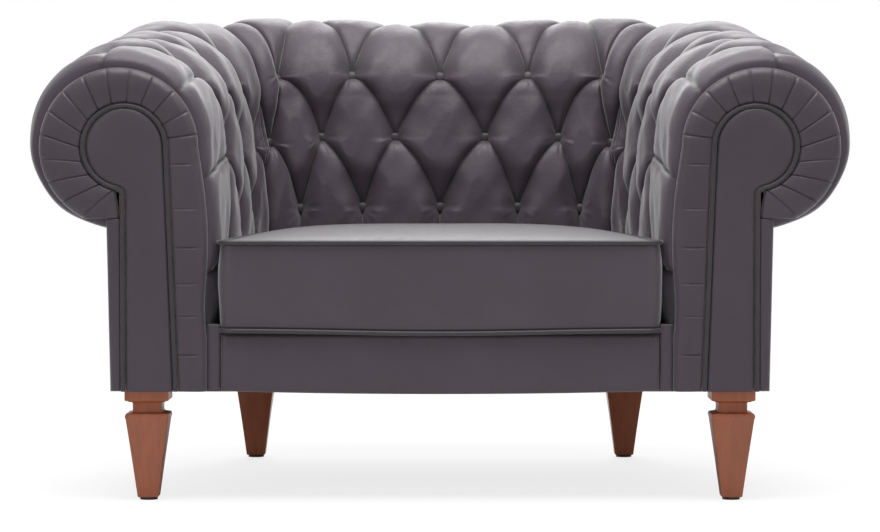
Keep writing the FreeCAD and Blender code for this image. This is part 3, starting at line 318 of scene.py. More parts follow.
def closed(name, outer, inner, diagonal=None, line=None):
    """Closed mesh between two grids of points whose first axes match: the outer one's columns
    join the inner one's at both edges, and both ends are filled with strips."""
    count, high = outer.shape[:2]
    deep = inner.shape[1]
    step = (high - 1) // (deep - 1)
    ring = high + deep
    points = np.concatenate([outer, inner[:, ::-1]], axis=1).reshape(-1, 3)
    i, k = np.meshgrid(np.arange(count - 1), np.arange(ring), indexing="ij")
    here = (i * ring + k).ravel()
    up = (i * ring + (k + 1) % ring).ravel()
    along = here + ring
    both = up + ring
    flat = k.ravel() < high - 1
    if diagonal is None:
        faces = np.stack([here, up, both, along], axis=1).tolist()
    else:
        lead = np.zeros((count - 1, ring), bool)
        lead[:, : high - 1] = diagonal
        lead = lead.ravel()
        first = np.where(lead[:, None], np.stack([here, up, both], 1), np.stack([here, up, along], 1))
        second = np.where(lead[:, None], np.stack([here, both, along], 1), np.stack([up, both, along], 1))
        faces = np.concatenate([first[flat], second[flat]]).tolist()
        faces += np.stack([here, up, both, along], axis=1)[~flat].tolist()
    for start, turned in ((0, True), ((count - 1) * ring, False)):
        for m in range(deep - 1):
            rim = list(range(start + m * step, start + (m + 1) * step + 1))
            rim += [start + ring - 2 - m, start + ring - 1 - m]
            faces.append(rim[::-1] if turned else rim)
    mesh = bpy.data.meshes.new(name)
    mesh.from_pydata(points.tolist(), [], faces)
    # The line mask is stored as the crease attribute, which the pad leather reads for painted shade.
    if line is not None:
        crease = np.concatenate([line, np.zeros((count, deep))], axis=1).astype(np.float32)
        mesh.attributes.new("crease", "FLOAT", "POINT").data.foreach_set("value", crease.ravel())
    return outward(name, mesh)


def outward(name, mesh):
    """Makes an object of a closed mesh and turns its faces outwards by its signed volume."""
    mesh.validate()
    mesh.update()
    mesh.calc_loop_triangles()
    corners = np.empty(len(mesh.loop_triangles) * 3, np.int32)
    mesh.loop_triangles.foreach_get("vertices", corners)
    points = np.empty(len(mesh.vertices) * 3)
    mesh.vertices.foreach_get("co", points)
    a, b, c = points.reshape(-1, 3)[corners.reshape(-1, 3)].transpose(1, 0, 2)
    if np.einsum("ij,ij->i", a, np.cross(b, c)).sum() < 0:
        mesh.flip_normals()
    mesh.shade_smooth()
    thing = bpy.data.objects.new(name, mesh)
    bpy.context.scene.collection.objects.link(thing)
    return thing


def finish_piece(thing, body, slot, material, *nodes):
    """Rides the piece on its body, gives it its material and hides the nodes it stands for; slot is not used."""
    thing.data.materials.append(material)
    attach(thing, body)
    if nodes:
        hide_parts(*nodes)
    return thing


def leather(name, dark, pale, rough, grain=1.0, bloom=0.35):
    """Satin leather: pebbled grain of millimetre cells over soft creases, a tone that drifts from
    hide to hide, and a faint bloom."""
    material = bpy.data.materials.new(name)
    material.use_nodes = True
    nodes, links = material.node_tree.nodes, material.node_tree.links
    skin = nodes["Principled BSDF"]
    place = nodes.new("ShaderNodeTexCoord")
    drift = nodes.new("ShaderNodeTexNoise")
    drift.inputs["Scale"].default_value = 7.0
    drift.inputs["Detail"].default_value = 6.0
    drift.inputs["Roughness"].default_value = 0.62
    tone = nodes.new("ShaderNodeMix")
    tone.data_type = "RGBA"
    tone.inputs["A"].default_value = (*dark, 1)
    tone.inputs["B"].default_value = (*pale, 1)
    pebble = nodes.new("ShaderNodeTexVoronoi")
    pebble.feature = "SMOOTH_F1"
    pebble.inputs["Scale"].default_value = 520.0
    pebble.inputs["Smoothness"].default_value = 0.6
    crease = nodes.new("ShaderNodeTexNoise")
    crease.inputs["Scale"].default_value = 95.0
    crease.inputs["Detail"].default_value = 5.0
    crease.inputs["Roughness"].default_value = 0.55
    fine = nodes.new("ShaderNodeBump")
    fine.inputs["Strength"].default_value = 0.22 * grain
    fine.inputs["Distance"].default_value = 0.0006
    soft = nodes.new("ShaderNodeBump")
    soft.inputs["Strength"].default_value = 0.30 * grain
    soft.inputs["Distance"].default_value = 0.0016
    gloss = nodes.new("ShaderNodeMapRange")
    gloss.inputs["From Min"].default_value = 0.3
    gloss.inputs["From Max"].default_value = 0.7
    gloss.inputs["To Min"].default_value = rough - 0.05
    gloss.inputs["To Max"].default_value = rough + 0.06
    for texture in (drift, pebble, crease):
        links.new(place.outputs["Object"], texture.inputs["Vector"])
    links.new(drift.outputs["Fac"], tone.inputs["Factor"])
    links.new(tone.outputs["Result"], skin.inputs["Base Color"])
    links.new(crease.outputs["Fac"], gloss.inputs["Value"])
    links.new(gloss.outputs["Result"], skin.inputs["Roughness"])
    links.new(crease.outputs["Fac"], soft.inputs["Height"])
    links.new(pebble.outputs["Distance"], fine.inputs["Height"])
    links.new(soft.outputs["Normal"], fine.inputs["Normal"])
    links.new(fine.outputs["Normal"], skin.inputs["Normal"])
    skin.inputs["Specular IOR Level"].default_value = 0.5
    skin.inputs["Sheen Weight"].default_value = bloom
    skin.inputs["Sheen Roughness"].default_value = 0.45
    return material


def painted_crease_shade(material, dark):
    """Paints shade into the leather's tone along the mesh's crease attribute: the folds and the pits above the buttons
    are darkened towards a given colour, standing in for their shade."""
    nodes, links = material.node_tree.nodes, material.node_tree.links
    skin = nodes["Principled BSDF"]
    tone = skin.inputs["Base Color"].links[0].from_socket
    painted_shade_line = nodes.new("ShaderNodeAttribute")
    painted_shade_line.attribute_name = "crease"
    deep = nodes.new("ShaderNodeMix")
    deep.data_type = "RGBA"
    deep.inputs["B"].default_value = (*dark, 1)
    links.new(painted_shade_line.outputs["Fac"], deep.inputs["Factor"])
    links.new(tone, deep.inputs["A"])
    links.new(deep.outputs["Result"], skin.inputs["Base Color"])
    return material


pad_leather = leather("pad_leather", (0.043, 0.029, 0.043), (0.074, 0.052, 0.075), 0.48, 1.0, 0.45)
# Painted shade: the pad leather darkens towards near black along the pleats and in the pits above the buttons.
painted_crease_shade(pad_leather, (0.010, 0.006, 0.008))

ARM_COLUMNS = [
    ((-2, 0, 2, 4, 5.5), (0.020, 0.171, 0.319, 0.467, 0.5635)),
    ((-2, 1, 3, 5, 5.5), (0.020, 0.245, 0.393, 0.541, 0.5635)),
    ((-2, 0, 2, 4, 5.5), (0.020, 0.171, 0.319, 0.467, 0.5635)),
    ((-2, -1, 1, 3, 5, 5.5), (0.020, 0.097, 0.245, 0.393, 0.541, 0.5635)),
]
ARM_ROWS = [
    ((0.020, 0.560), (-0.189, -0.189)),
    ((0.020, 0.245, 0.393, 0.541), (-0.050, -0.053, -0.062, -0.073)),
    ((0.020, 0.171, 0.319, 0.467, 0.560), (0.092, 0.087, 0.052, 0.041, 0.038)),
    ((0.020, 0.245, 0.560), (0.226, 0.230, 0.230)),
]
ARM_BUTTONS = [(-1, 3), (1, 3), (3, 3), (5, 3), (0, 2), (2, 2), (4, 2), (1, 1), (3, 1), (5, 1), (0, 0), (2, 0), (4, 0)]
BACK_COLUMNS = [
    ((0, 2, 4, 5.5), (0, 0.130, 0.233, 0.2985)),
    ((0, 1, 3, 5, 5.5), (0, 0.076, 0.199, 0.280, 0.2985)),
    ((0, 2, 4, 5.5), (0, 0.148, 0.262, 0.2985)),
    ((0, 1, 3, 5.5), (0, 0.072, 0.230, 0.2985)),
]
BACK_ROWS = [
    ((0, 0.3), (-0.189, -0.189)),
    ((0, 0.3), (-0.072, -0.073)),
    ((0, 0.3), (0.036, 0.039)),
    ((0, 0.3), (0.230, 0.230)),
]
BACK_BUTTONS = [(1, 3), (3, 3), (0, 2), (2, 2), (4, 2), (1, 1), (3, 1), (5, 1), (0, 0), (2, 0), (4, 0)]
BACK_BUTTONS += [(-c, j) for c, j in BACK_BUTTONS if c]


def rounding(distance, wide, deep):
    """Quarter-round drop of a given depth over a given width from an edge."""
    t = np.clip(1 - distance / wide, 0, 1)
    return deep * (1 - np.sqrt(1 - t * t))


def sunk(c, j, u, v, spots, first):
    """How far the leather lies below the pillow tops, before the edges are rounded."""
    # line is the tufting's mask for painted shade in the pleats and pits.
    drop, line = tufting(c, j, first)
    drop = TUFT * (1 - 0.2 * np.clip(j - 2, 0, 1)) * drop
    return drop - 0.004 + creeping(u, v, spots) * (j < 3.4) + slack(u, v), line


def bowed(j):
    """Lifts the pleats between the rows, so each pillow has an arched top and a narrow foot."""
    return j + BOW * np.sin(math.pi * (j - np.floor(j))) * ((j > 0) & (j < 3))


def arm_spot(c, j):
    """Distances u and v of an arm's column and row."""
    u = table(c, j, ARM_COLUMNS)
    run, lean = arm_plan(u)[4:]
    return u, wound(bowed(j), u, ARM_ROWS, run, lean)


def back_spot(c, j):
    """Distances u and v of the back's column and row."""
    u = np.sign(c) * table(np.abs(c), j, BACK_COLUMNS)
    run, lean = back_plan(u)[4:]
    return u, wound(bowed(j), np.abs(u), BACK_ROWS, run, lean)


def grid(c_low, c_high, step):
    """Columns and rows of a pad's grid, with a diagonal of each square along its pleat."""
    cs = np.linspace(c_low, c_high, round((c_high - c_low) * step) + 1)
    js = np.arange(round(6.75 * step / 8) * 8 + 1) / step - 1.5
    c, j = np.meshgrid(cs, js, indexing="ij")
    mid_c = (cs[1:] + cs[:-1]) / 2
    mid_j = (js[1:] + js[:-1]) / 2
    even = (np.floor(mid_c)[:, None] + np.floor(mid_j)[None]) % 2 == 0
    return c, np.minimum(j, 5.25), even


def button_spots(spot, buttons):
    """Distances u and v of each button."""
    c, j = np.array(buttons, float).T[:, :, None]
    u, v = spot(c, j)
    return list(zip(u.ravel(), v.ravel()))


def lining(plan, v):
    """Inner side of the pad, 44 mm below the leather, ended at the same outside wall."""
    gap = WALL - ROLL_OUT - LEAN * plan[5]
    turned = (math.pi + np.arccos(gap / (ROLL - 0.044))) / (math.pi + np.arccos(gap / ROLL))
    return wall_point(plan, np.where(v > 0, v * turned, v), np.full_like(v, 0.044))


spots = button_spots(arm_spot, ARM_BUTTONS)
c, j, even = grid(-2, 5.5, CELL)
u, v = arm_spot(c, j)
depth, line = sunk(c, j, u, v, spots, True)
front_gap = u - 0.020
rear_gap = 0.5635 - u
tight = share(front_gap, 0, 0.030)
depth = depth * (0.35 + 0.65 * tight) + rounding(front_gap, 0.027, 0.011)
depth = depth + rounding(rear_gap, 0.026, 0.013)
depth = np.maximum(depth * share(v - v[:, :1], -0.004, 0.05), -0.004)
depth = depth - 0.005 * share(v, 0.15, 0.30) * (1 - share(v, 0.45, 0.575)) * (1 - share(u, 0.3, 0.5))
arm_outer = wall_point(arm_plan(u), v, depth)
ridge = share(v, -0.05, 0.15) * (1 - share(v, 0.42, 0.57))
arm_outer[..., 2] += ridge * (0.0075 * share(u, 0.36, 0.52) - 0.005 * np.exp(-((u - 0.24) / 0.10) ** 2))
arm_inner = lining(arm_plan(u[:, ::8]), v[:, ::8])
for side, sign in (("right", 1), ("left", -1)):
    flip = np.array([sign, 1, 1])
    pad = closed(f"arm_pad_{side}", arm_outer * flip, arm_inner * flip, even, line)
    finish_piece(pad, "chair", "leather", pad_leather, f"arm_cover_{side}", f"arm_foam_{side}")


# Tufted back pad: the same leather and foam across the back, between the two inside corners.
back_spots = button_spots(back_spot, BACK_BUTTONS)
c, j, even = grid(-5.5, 5.5, CELL)
u, v = back_spot(c, j)
depth, line = sunk(c, j, u, v, back_spots, None)
depth = depth + rounding(0.2985 - np.abs(u), 0.026, 0.013)
depth = np.maximum(depth * share(v - v[:, :1], -0.004, 0.05), -0.004)
back_outer = wall_point(back_plan(u), v, depth)
ridge = share(v, -0.05, 0.15) * (1 - share(v, 0.42, 0.57))
back_outer[..., 2] += ridge * (0.0075 - 0.0125 * (1 - np.clip(np.abs(u) / 0.27, 0, 1) ** 2))
back_inner = lining(back_plan(u[:, ::8]), v[:, ::8])
pad = closed("back_pad", back_outer, back_inner, even, line)
finish_piece(pad, "chair", "leather", pad_leather, "back_cover", "back_foam")


# Buttons: discs wrapped in the same leather as the pads, pulled down into the pits by twine; here their leather is
# darker, as painted shade for the pits.
def button_points(place, normal, spin):
    """Cap of revolution: a low dome whose rim turns under, on a stub that runs into the foam.
    Radius and height come from a table of rings, with a faint pucker round the rim."""
    rings = np.array([(0.2, 3.0), (2.6, 2.9), (5.0, 2.5), (7.0, 1.7), (8.5, 0.5), (9.2, -0.8),
                      (9.3, -2.2), (8.6, -3.8), (6.8, -5.5), (5.0, -8.0), (0.2, -8.5)]) / 1000
    turn = np.linspace(0, 2 * math.pi, 28, endpoint=False)
    pucker = 1 + 0.02 * np.cos(7 * turn + spin) * (rings[:, :1] > 0.007)
    r = rings[:, :1] * pucker
    normal = normal / np.linalg.norm(normal)
    side = np.cross(normal, (0.0, 0.3, 1.0))
    side /= np.linalg.norm(side)
    other = np.cross(normal, side)
    ring = np.cos(turn)[None, :, None] * side + np.sin(turn)[None, :, None] * other
    return place + r[..., None] * ring + rings[:, 1][:, None, None] * normal


def merged(name, patches):
    """One mesh of several closed rings-by-turns grids, each filled at its first and last ring."""
    points, faces, start = [], [], 0
    for patch in patches:
        rows, turns = patch.shape[:2]
        i, k = np.meshgrid(np.arange(rows - 1), np.arange(turns), indexing="ij")
        here = start + i * turns + k
        side = start + i * turns + (k + 1) % turns
        faces += np.stack([here, side, side + turns, here + turns], axis=-1).reshape(-1, 4).tolist()
        faces.append(list(range(start, start + turns))[::-1])
        faces.append(list(range(start + (rows - 1) * turns, start + rows * turns)))
        points.append(patch.reshape(-1, 3))
        start += rows * turns
    mesh = bpy.data.meshes.new(name)
    mesh.from_pydata(np.concatenate(points).tolist(), [], faces)
    return outward(name, mesh)


def button_set(plan, centres, spot_table, sign):
    """Buttons at each centre, sunk so that the dome's rim meets the pit's wall."""
    found = []
    for k, ((c, j), (u, v)) in enumerate(zip(centres, spot_table)):
        here = plan(np.array([u]))
        sink = TUFT * (0.8 if j == 3 else 1.0) - 0.0110
        place = wall_point(here, np.array([v]), np.array([sink]))[0]
        proud = wall_point(here, np.array([v]), np.array([sink - 0.01]))[0]
        flip = np.array([sign, 1, 1])
        found.append(button_points(place * flip, (proud - place) * flip, 1.7 * k))
    return found


# Painted shade: the button leather is darker than the pad leather, standing in for the shade in the pits.
button_leather_painted_shade = leather("button_leather_painted_shade", (0.020, 0.013, 0.018), (0.034, 0.023, 0.031), 0.45, 1.0, 0.15)
for side, sign in (("right", 1), ("left", -1)):
    caps = merged(f"buttons_arm_{side}", button_set(arm_plan, ARM_BUTTONS, spots, sign))
    finish_piece(caps, "chair", "leather_buttons", button_leather_painted_shade, f"arm_buttons_{side}")
caps = merged("buttons_back", button_set(back_plan, BACK_BUTTONS, back_spots, 1))
finish_piece(caps, "chair", "leather_buttons", button_leather_painted_shade, "back_buttons")


# Arm facings: a plain leather panel in the shape of the arm's end, a cord sewn round it, and a
# band gathered into small radial pleats that fills the space out to the roll's edge.
HEAD = (0.331 + 0.142 - 0.009, 0.523)
HEAD_R = 0.061
STEM_IN = 0.331 + 0.058
STEM_OUT = 0.331 + 0.136
FILLET = 0.012
BASE_Z = 0.163
CORD = 0.0032
SEAM = CORD + 0.0004
BOARD_Y = -0.4054
FILLET_X = STEM_OUT + FILLET
FILLET_Z = HEAD[1] - math.sqrt((HEAD_R + FILLET) ** 2 - (FILLET_X - HEAD[0]) ** 2)
NECK = math.atan2(FILLET_Z - HEAD[1], FILLET_X - HEAD[0])


def inner_tangent(grow):
    """Angle on the head's circle where the panel's inner edge touches it."""
    across = STEM_IN - grow - HEAD[0]
    down = BASE_Z - HEAD[1]
    return math.atan2(down, across) + 2 * math.pi - math.acos((HEAD_R + grow) / math.hypot(across, down))


def panel_line(grow, step=0.003):
    """The panel's outline in X and Z: up the inner edge, round the head, through the neck's
    small curve and down the outer edge, as evenly spaced points."""
    start = inner_tangent(grow)
    head = np.linspace(start, NECK, 90)
    r = HEAD_R + grow
    circle = np.stack([HEAD[0] + r * np.cos(head), HEAD[1] + r * np.sin(head)], 1)
    rise = np.linspace(0, 1, 60, endpoint=False)[:, None]
    foot = np.array([STEM_IN - grow, BASE_Z])
    inner = foot + (circle[0] - foot) * rise
    bend = np.linspace(NECK + math.pi, math.pi, 14)[1:]
    if NECK + math.pi > 2 * math.pi:
        bend = bend - 2 * math.pi
    neck = np.stack([FILLET_X + (FILLET - grow) * np.cos(bend), FILLET_Z + (FILLET - grow) * np.sin(bend)], 1)
    fall = np.linspace(0, 1, 50)[1:, None]
    last = neck[-1] + (np.array([STEM_OUT + grow, BASE_Z]) - neck[-1]) * fall
    line = np.concatenate([inner, circle, neck, last])
    run = np.concatenate([[0], np.cumsum(np.linalg.norm(np.diff(line, axis=0), axis=1))])
    even = np.linspace(0, run[-1], round(run[-1] / step))
    return np.stack([np.interp(even, run, line[:, 0]), np.interp(even, run, line[:, 1])], 1)


def tube(path, radius, turns=12):
    """Round cord along a path: rings square to the path, each turned as little as possible."""
    ahead = np.gradient(path, axis=0)
    ahead /= np.linalg.norm(ahead, axis=1, keepdims=True)
    side = np.cross(ahead, (0.0, 1.0, 0.0))
    flat = np.linalg.norm(side, axis=1, keepdims=True)
    side = np.where(flat > 1e-3, side / np.maximum(flat, 1e-9), (1.0, 0.0, 0.0))
    up = np.cross(side, ahead)
    turn = np.linspace(0, 2 * math.pi, turns, endpoint=False)
    return path[:, None] + radius * (np.cos(turn)[None, :, None] * side[:, None] + np.sin(turn)[None, :, None] * up[:, None])


facing_leather = leather("facing_leather", (0.041, 0.029, 0.041), (0.066, 0.048, 0.067), 0.44)
cord_leather = leather("cord_leather", (0.026, 0.019, 0.025), (0.044, 0.032, 0.043), 0.42, 0.6)

# The plain panel: horizontal chords between its two edges, puffed a little in the middle.
edge = panel_line(-SEAM, 0.001)
crest = int(np.argmax(edge[:, 1]))
heights = BASE_Z + (edge[crest, 1] - BASE_Z) * np.sin(np.linspace(0, math.pi / 2, 110)) ** 1.0
heights = BASE_Z + (edge[crest, 1] - BASE_Z) * (1 - (1 - np.linspace(0, 1, 150)) ** 1.6)
inner_x = np.interp(heights, edge[: crest + 1, 1], edge[: crest + 1, 0])
outer_edge = edge[crest:][::-1]
low_z = np.maximum.accumulate(outer_edge[:, 1])
outer_x = np.interp(heights, low_z, outer_edge[:, 0])
head_part = outer_edge[outer_edge[:, 1] > FILLET_Z - 0.002]
t = np.linspace(0, 1, 41)
x = inner_x[:, None] + (outer_x - inner_x)[:, None] * t
z = np.broadcast_to(heights[:, None], x.shape)
gap = np.minimum(x - inner_x[:, None], outer_x[:, None] - x)
gap = np.minimum(gap, np.maximum(edge[crest, 1] - z, 0) * 1.2)
puff = 0.0042 * (1 - np.exp(-gap / 0.012)) + 0.0022 * (1 - (2 * t - 1) ** 2) - rounding(gap, 0.004, 0.0035)
face = np.stack([x, BOARD_Y - 0.0105 - puff, z], -1)
plain_back = np.stack([x[:, ::8], np.full_like(x[:, ::8], BOARD_Y), z[:, ::8]], -1)
panel_grids = (face, plain_back)

# The gathered band: pairs of points on its inner and outer edges, up the stem and over the roll.
BAND_R = ROLL - 0.011
BAND_STOP = math.asin(-0.105 / BAND_R)
heights = np.linspace(BASE_Z, 0.523, 400, endpoint=False)
tangent = inner_tangent(SEAM)
touch = (HEAD[0] + (HEAD_R + SEAM) * math.cos(tangent), HEAD[1] + (HEAD_R + SEAM) * math.sin(tangent))
part = (heights - BASE_Z) / (touch[1] - BASE_Z)
inner_stem = np.stack([(STEM_IN - SEAM) * (1 - part) + touch[0] * part, heights], 1)
rim = wall_point(arm_plan(np.full(400, 0.0)), np.minimum(heights - 0.523, 0), np.full(400, 0.011))
blend = np.clip((heights - PAD_FOOT) / 0.084, 0, 1)
outer_stem = np.stack([rim[:, 0] * blend + (0.331 + 0.013) * (1 - blend), heights], 1)
part = np.linspace(0, 1, 700)
angle = math.pi * (1 - part) + BAND_STOP * part
inner_angle = tangent * (1 - part) + NECK * part
inner_head = np.stack([HEAD[0] + (HEAD_R + SEAM) * np.cos(inner_angle), HEAD[1] + (HEAD_R + SEAM) * np.sin(inner_angle)], 1)
outer_head = np.stack([0.473 + BAND_R * np.cos(angle), 0.523 + BAND_R * np.sin(angle)], 1)
turn = np.linspace(0, 1, 20)[1:, None]
inner_tail = inner_head[-1] + (np.array([STEM_OUT + SEAM, outer_head[-1, 1]]) - inner_head[-1]) * turn
outer_tail = np.repeat(outer_head[-1:], 19, axis=0)
inner = np.concatenate([inner_stem, inner_head, inner_tail])
outer = np.concatenate([outer_stem, outer_head, outer_tail])
TICKS = (0.217, 0.274, 0.322, 0.375, 0.432, 0.498)
stem_phase = np.interp(heights, (BASE_Z,) + TICKS + (0.548,), range(8))
head_phase = stem_phase[-1] + 0.02 + part * 13.6
phase = np.concatenate([stem_phase, head_phase, np.linspace(head_phase[-1], math.ceil(head_phase[-1]), 19)])
beat = phase - np.floor(phase)
is_head = np.clip((np.arange(len(phase)) - 395) / 10, 0, 1)
nearest = np.minimum(beat, 1 - beat)
narrow = 0.05 * is_head + 0.022 * (1 - is_head)
groove = np.exp(-((nearest / narrow) ** 2))
swell = 0.0011 * (1 - np.sin(math.pi * beat)) ** 1.3
wander = np.sin(2.1 * np.round(phase)) * 0.2 + 1
t = np.linspace(0, 1, 25)
stem_cut = 0.0022 * share(t, 0.02, 0.16) * share(1 - t, 0.18, 0.45)
head_cut = 0.0026 * (1 - 0.3 * np.sin(math.pi * t))
crown = 0.0062 * np.sin(math.pi * t) ** 0.8
lip = rounding((1 - t) * np.linalg.norm(outer - inner, axis=1)[:, None], 0.011, 0.008)
tuck = rounding(t * np.linalg.norm(outer - inner, axis=1)[:, None], 0.004, 0.003)
cut = np.where(is_head[:, None] > 0.5, head_cut, stem_cut) * (groove * wander)[:, None]
out_y = BOARD_Y - 0.0115 - crown + lip + tuck + cut + swell[:, None] * np.sin(math.pi * t)
flat = inner[:, None] + (outer - inner)[:, None] * t[None, :, None]
band_face = np.stack([flat[..., 0], out_y, flat[..., 1]], -1)
band_back = np.stack([flat[:, ::8, 0], np.full_like(flat[:, ::8, 0], BOARD_Y), flat[:, ::8, 1]], -1)

cord_line = panel_line(0.0, 0.0025)
cord_path = np.stack([cord_line[:, 0], np.full(len(cord_line), -0.4166), cord_line[:, 1]], 1)
rim_line = np.concatenate([outer_stem[::5], outer_head[::5]])
rim_path = np.stack([rim_line[:, 0], np.full(len(rim_line), -0.4085), rim_line[:, 1]], 1)
for side, sign in (("right", 1), ("left", -1)):
    flip = np.array([sign, 1, 1])
    panel = closed(f"facing_plain_{side}", panel_grids[0] * flip, panel_grids[1] * flip)
    finish_piece(panel, "chair", "leather_facing", facing_leather, f"facing_panel_{side}")
    band = closed(f"facing_gathered_{side}", band_face * flip, band_back * flip)
    finish_piece(band, "chair", "leather_facing", facing_leather, f"facing_band_{side}")
    cord = merged(f"facing_cord_{side}", [tube(cord_path, CORD) * flip])
    finish_piece(cord, "chair", "leather_piping", cord_leather, f"facing_piping_{side}")


# Return strips: the outside leather comes round the front corner and is sewn beside the panel.
STRIP_TOP = 0.523 - 0.105 - 0.0008
z = np.linspace(0.1630, STRIP_TOP, 121)[:, None]
t = np.linspace(0, 1, 33)
reach = 0.331 + WALL - 0.005 * (1 - (z - 0.163) / (STRIP_TOP - 0.163)) + 0.0008
x = STEM_OUT + SEAM + (reach - STEM_OUT - SEAM) * t
gap = np.minimum((1 - t) * (reach - STEM_OUT - SEAM), (z - 0.163) * 1.4)
strip_y = BOARD_Y - 0.0112 - 0.0012 * np.sin(math.pi * t) + rounding(gap, 0.008, 0.0075)
strip_y = strip_y + rounding(t * 0.019, 0.003, 0.002) + 0.0004 * np.sin(41 * z) * t
strip_face = np.stack([x, strip_y, np.broadcast_to(z, x.shape)], -1)
strip_back = np.stack([x[:, ::8], np.full_like(x[:, ::8], BOARD_Y), np.broadcast_to(z, x.shape)[:, ::8]], -1)
outside_leather = leather("outside_leather", (0.042, 0.030, 0.042), (0.069, 0.050, 0.070), 0.44)
patches = [strip_face, strip_face * np.array([-1, 1, 1])]
strips = []
for side, sign in (("right", 1), ("left", -1)):
    flip = np.array([sign, 1, 1])
    strip = closed(f"return_strip_{side}", strip_face * flip, strip_back * flip)
    strips.append(strip)
    if side == "right":
        finish_piece(strip, "chair", "leather_facing", outside_leather, "front_strips")
    else:
        finish_piece(strip, "chair", "leather_facing", outside_leather)

# Flaps: the inside leather of each arm comes forward below the cushion, between band and border.
z = np.linspace(0.163, 0.262, 41)[:, None]
t = np.linspace(0, 1, 25)
x = 0.3236 + (0.3438 - 0.3236) * t + 0 * z
flap_y = -0.4090 - 0.0015 * np.sin(math.pi * t) + rounding(np.minimum(t, 1 - t) * 0.020, 0.004, 0.003)
flap_y = flap_y + rounding(z - 0.163, 0.005, 0.003) + 0 * x
flap_face = np.stack([x, flap_y, z + 0 * x], -1)
flap_back = np.stack([x[:, ::8], np.full_like(x[:, ::8], -0.4024), (z + 0 * x)[:, ::8]], -1)
for side, sign in (("right", 1), ("left", -1)):
    flip = np.array([sign, 1, 1])
    flap = closed(f"arm_flap_{side}", flap_face * flip, flap_back * flip)
    if side == "right":
        finish_piece(flap, "chair", "leather", pad_leather, "arm_flaps")
    else:
        finish_piece(flap, "chair", "leather", pad_leather)


# Outside panels: one thickness of leather over thin board, drawn down from under the roll and
# tacked beneath the rails.
def outside(plan, u):
    """Wall panel: leans out 5 mm on its way up to the roll and stands a little proud between its
    edges; rows run from the rails to inside the roll."""
    x, y, out_x, out_y, run, lean = [q[:, None] for q in plan(u)]
    rise = np.linspace(0, 1, 73)[None]
    top = roll_level(run) - ROLL + 0.012
    z = 0.163 + (top - 0.163) * rise
    body = np.sin(math.pi * rise) ** 0.7
    n = WALL - 0.005 * (1 - rise) + 0.0015 * body + 0.0006 * body * np.sin(33 * u[:, None] + 9 * z)
    n = n - rounding(z - 0.163, 0.006, 0.004)
    face = np.stack([x + out_x * n, y + out_y * n, z + 0 * n], -1)
    n = np.broadcast_to(WALL - 0.004 - 0.005 * (1 - rise), z.shape)[:, ::8]
    back = np.stack([x + out_x * n, y + out_y * n, z[:, ::8]], -1)
    return face, back


face, back = outside(arm_plan, np.concatenate([np.linspace(0.020, ARM_RUN, 94), np.linspace(ARM_RUN, 0.5635, 17)[1:]]))
for side, sign in (("right", 1), ("left", -1)):
    flip = np.array([sign, 1, 1])
    panel = closed(f"outside_leather_{side}", face * flip, back * flip)
    finish_piece(panel, "chair", "leather_outside", outside_leather, f"outside_arm_{side}")
bend = np.linspace(CORNER[0], 0.2985, 17)
u = np.concatenate([-bend[::-1], np.linspace(-CORNER[0], CORNER[0], 89)[1:-1], bend])
face, back = outside(back_plan, u)
panel = closed("outside_leather_back", face, back)
finish_piece(panel, "chair", "leather_outside", outside_leather, "outside_back")


# Front border: a lightly padded strip over the front rail that sags a little in the middle.
x = np.linspace(-0.3228, 0.3228, 261)[:, None]
t = np.linspace(0, 1, 33)
low = 0.163 - 0.0045 * (1 - (x / 0.3228) ** 2)
high = 0.2486
z = low + (high - low) * t
gap = np.minimum(t, 1 - t) * 0.086
ends = 0.3228 - np.abs(x)
front_y = -0.4122 - 0.0028 * np.sin(math.pi * t) + rounding(gap, 0.008, 0.006) + rounding(ends, 0.006, 0.004)
ripple = 0.0009 * np.sin(38 * x + 2.2 * t) * np.sin(math.pi * t) + 0.0011 * np.exp(-ends / 0.03) * np.sin(260 * x + 5 * t)
front_y = front_y + ripple
face = np.stack([x + 0 * z, front_y, z], -1)
back = np.stack([x + 0 * z[:, ::8], np.full_like(z[:, ::8], -0.4022), z[:, ::8]], -1)
border = closed("border_pad", face, back)
finish_piece(border, "chair", "leather", pad_leather, "border_cover", "border_foam")
welt_path = np.stack([x[:, 0], -0.4140 + rounding(ends[:, 0], 0.006, 0.004), low[:, 0] + 0.0024], 1)


# Loose seat cushion: a box of leather over foam and down, with a crowned top, upright sides, a
# cord along its top and bottom seams and a zip at the rear.
CUSHION_Y = (-0.418, 0.131)
CUSHION_Z = (0.2560, 0.3800)


def cushion_half(y):
    """Half the cushion's width at a depth: it narrows with the arms towards the back."""
    return 0.324 - (y - CUSHION_Y[0]) * 0.031 / ARM_RUN


def cushion_ring(grow, step=0.006):
    """Outline of the cushion in X and Y, grown outwards: four sides with tight front corners and
    wide rear ones, as evenly spaced points."""
    y0, y1 = CUSHION_Y[0] - grow, CUSHION_Y[1] + grow
    w0, w1 = cushion_half(y0) + grow, cushion_half(y1) + grow
    r0, r1 = 0.020 + grow, 0.066 + grow
    turn = np.linspace(0, math.pi / 2, 24)
    line = [np.array([[0.0, y0]])]
    line.append(np.stack([w0 - r0 + r0 * np.sin(turn), y0 + r0 - r0 * np.cos(turn)], 1))
    line.append(np.stack([w1 - r1 + r1 * np.cos(turn), y1 - r1 + r1 * np.sin(turn)], 1))
    half = np.concatenate(line + [np.array([[0.0, y1]])])
    whole = np.concatenate([half, half[::-1][1:-1] * (-1, 1)])
    whole = np.concatenate([whole, whole[:1]])
    run = np.concatenate([[0], np.cumsum(np.linalg.norm(np.diff(whole, axis=0), axis=1))])
    count = round(run[-1] / step / 4) * 4
    even = np.linspace(0, run[-1], count, endpoint=False)
    return np.stack([np.interp(even, run, whole[:, 0]), np.interp(even, run, whole[:, 1])], 1)


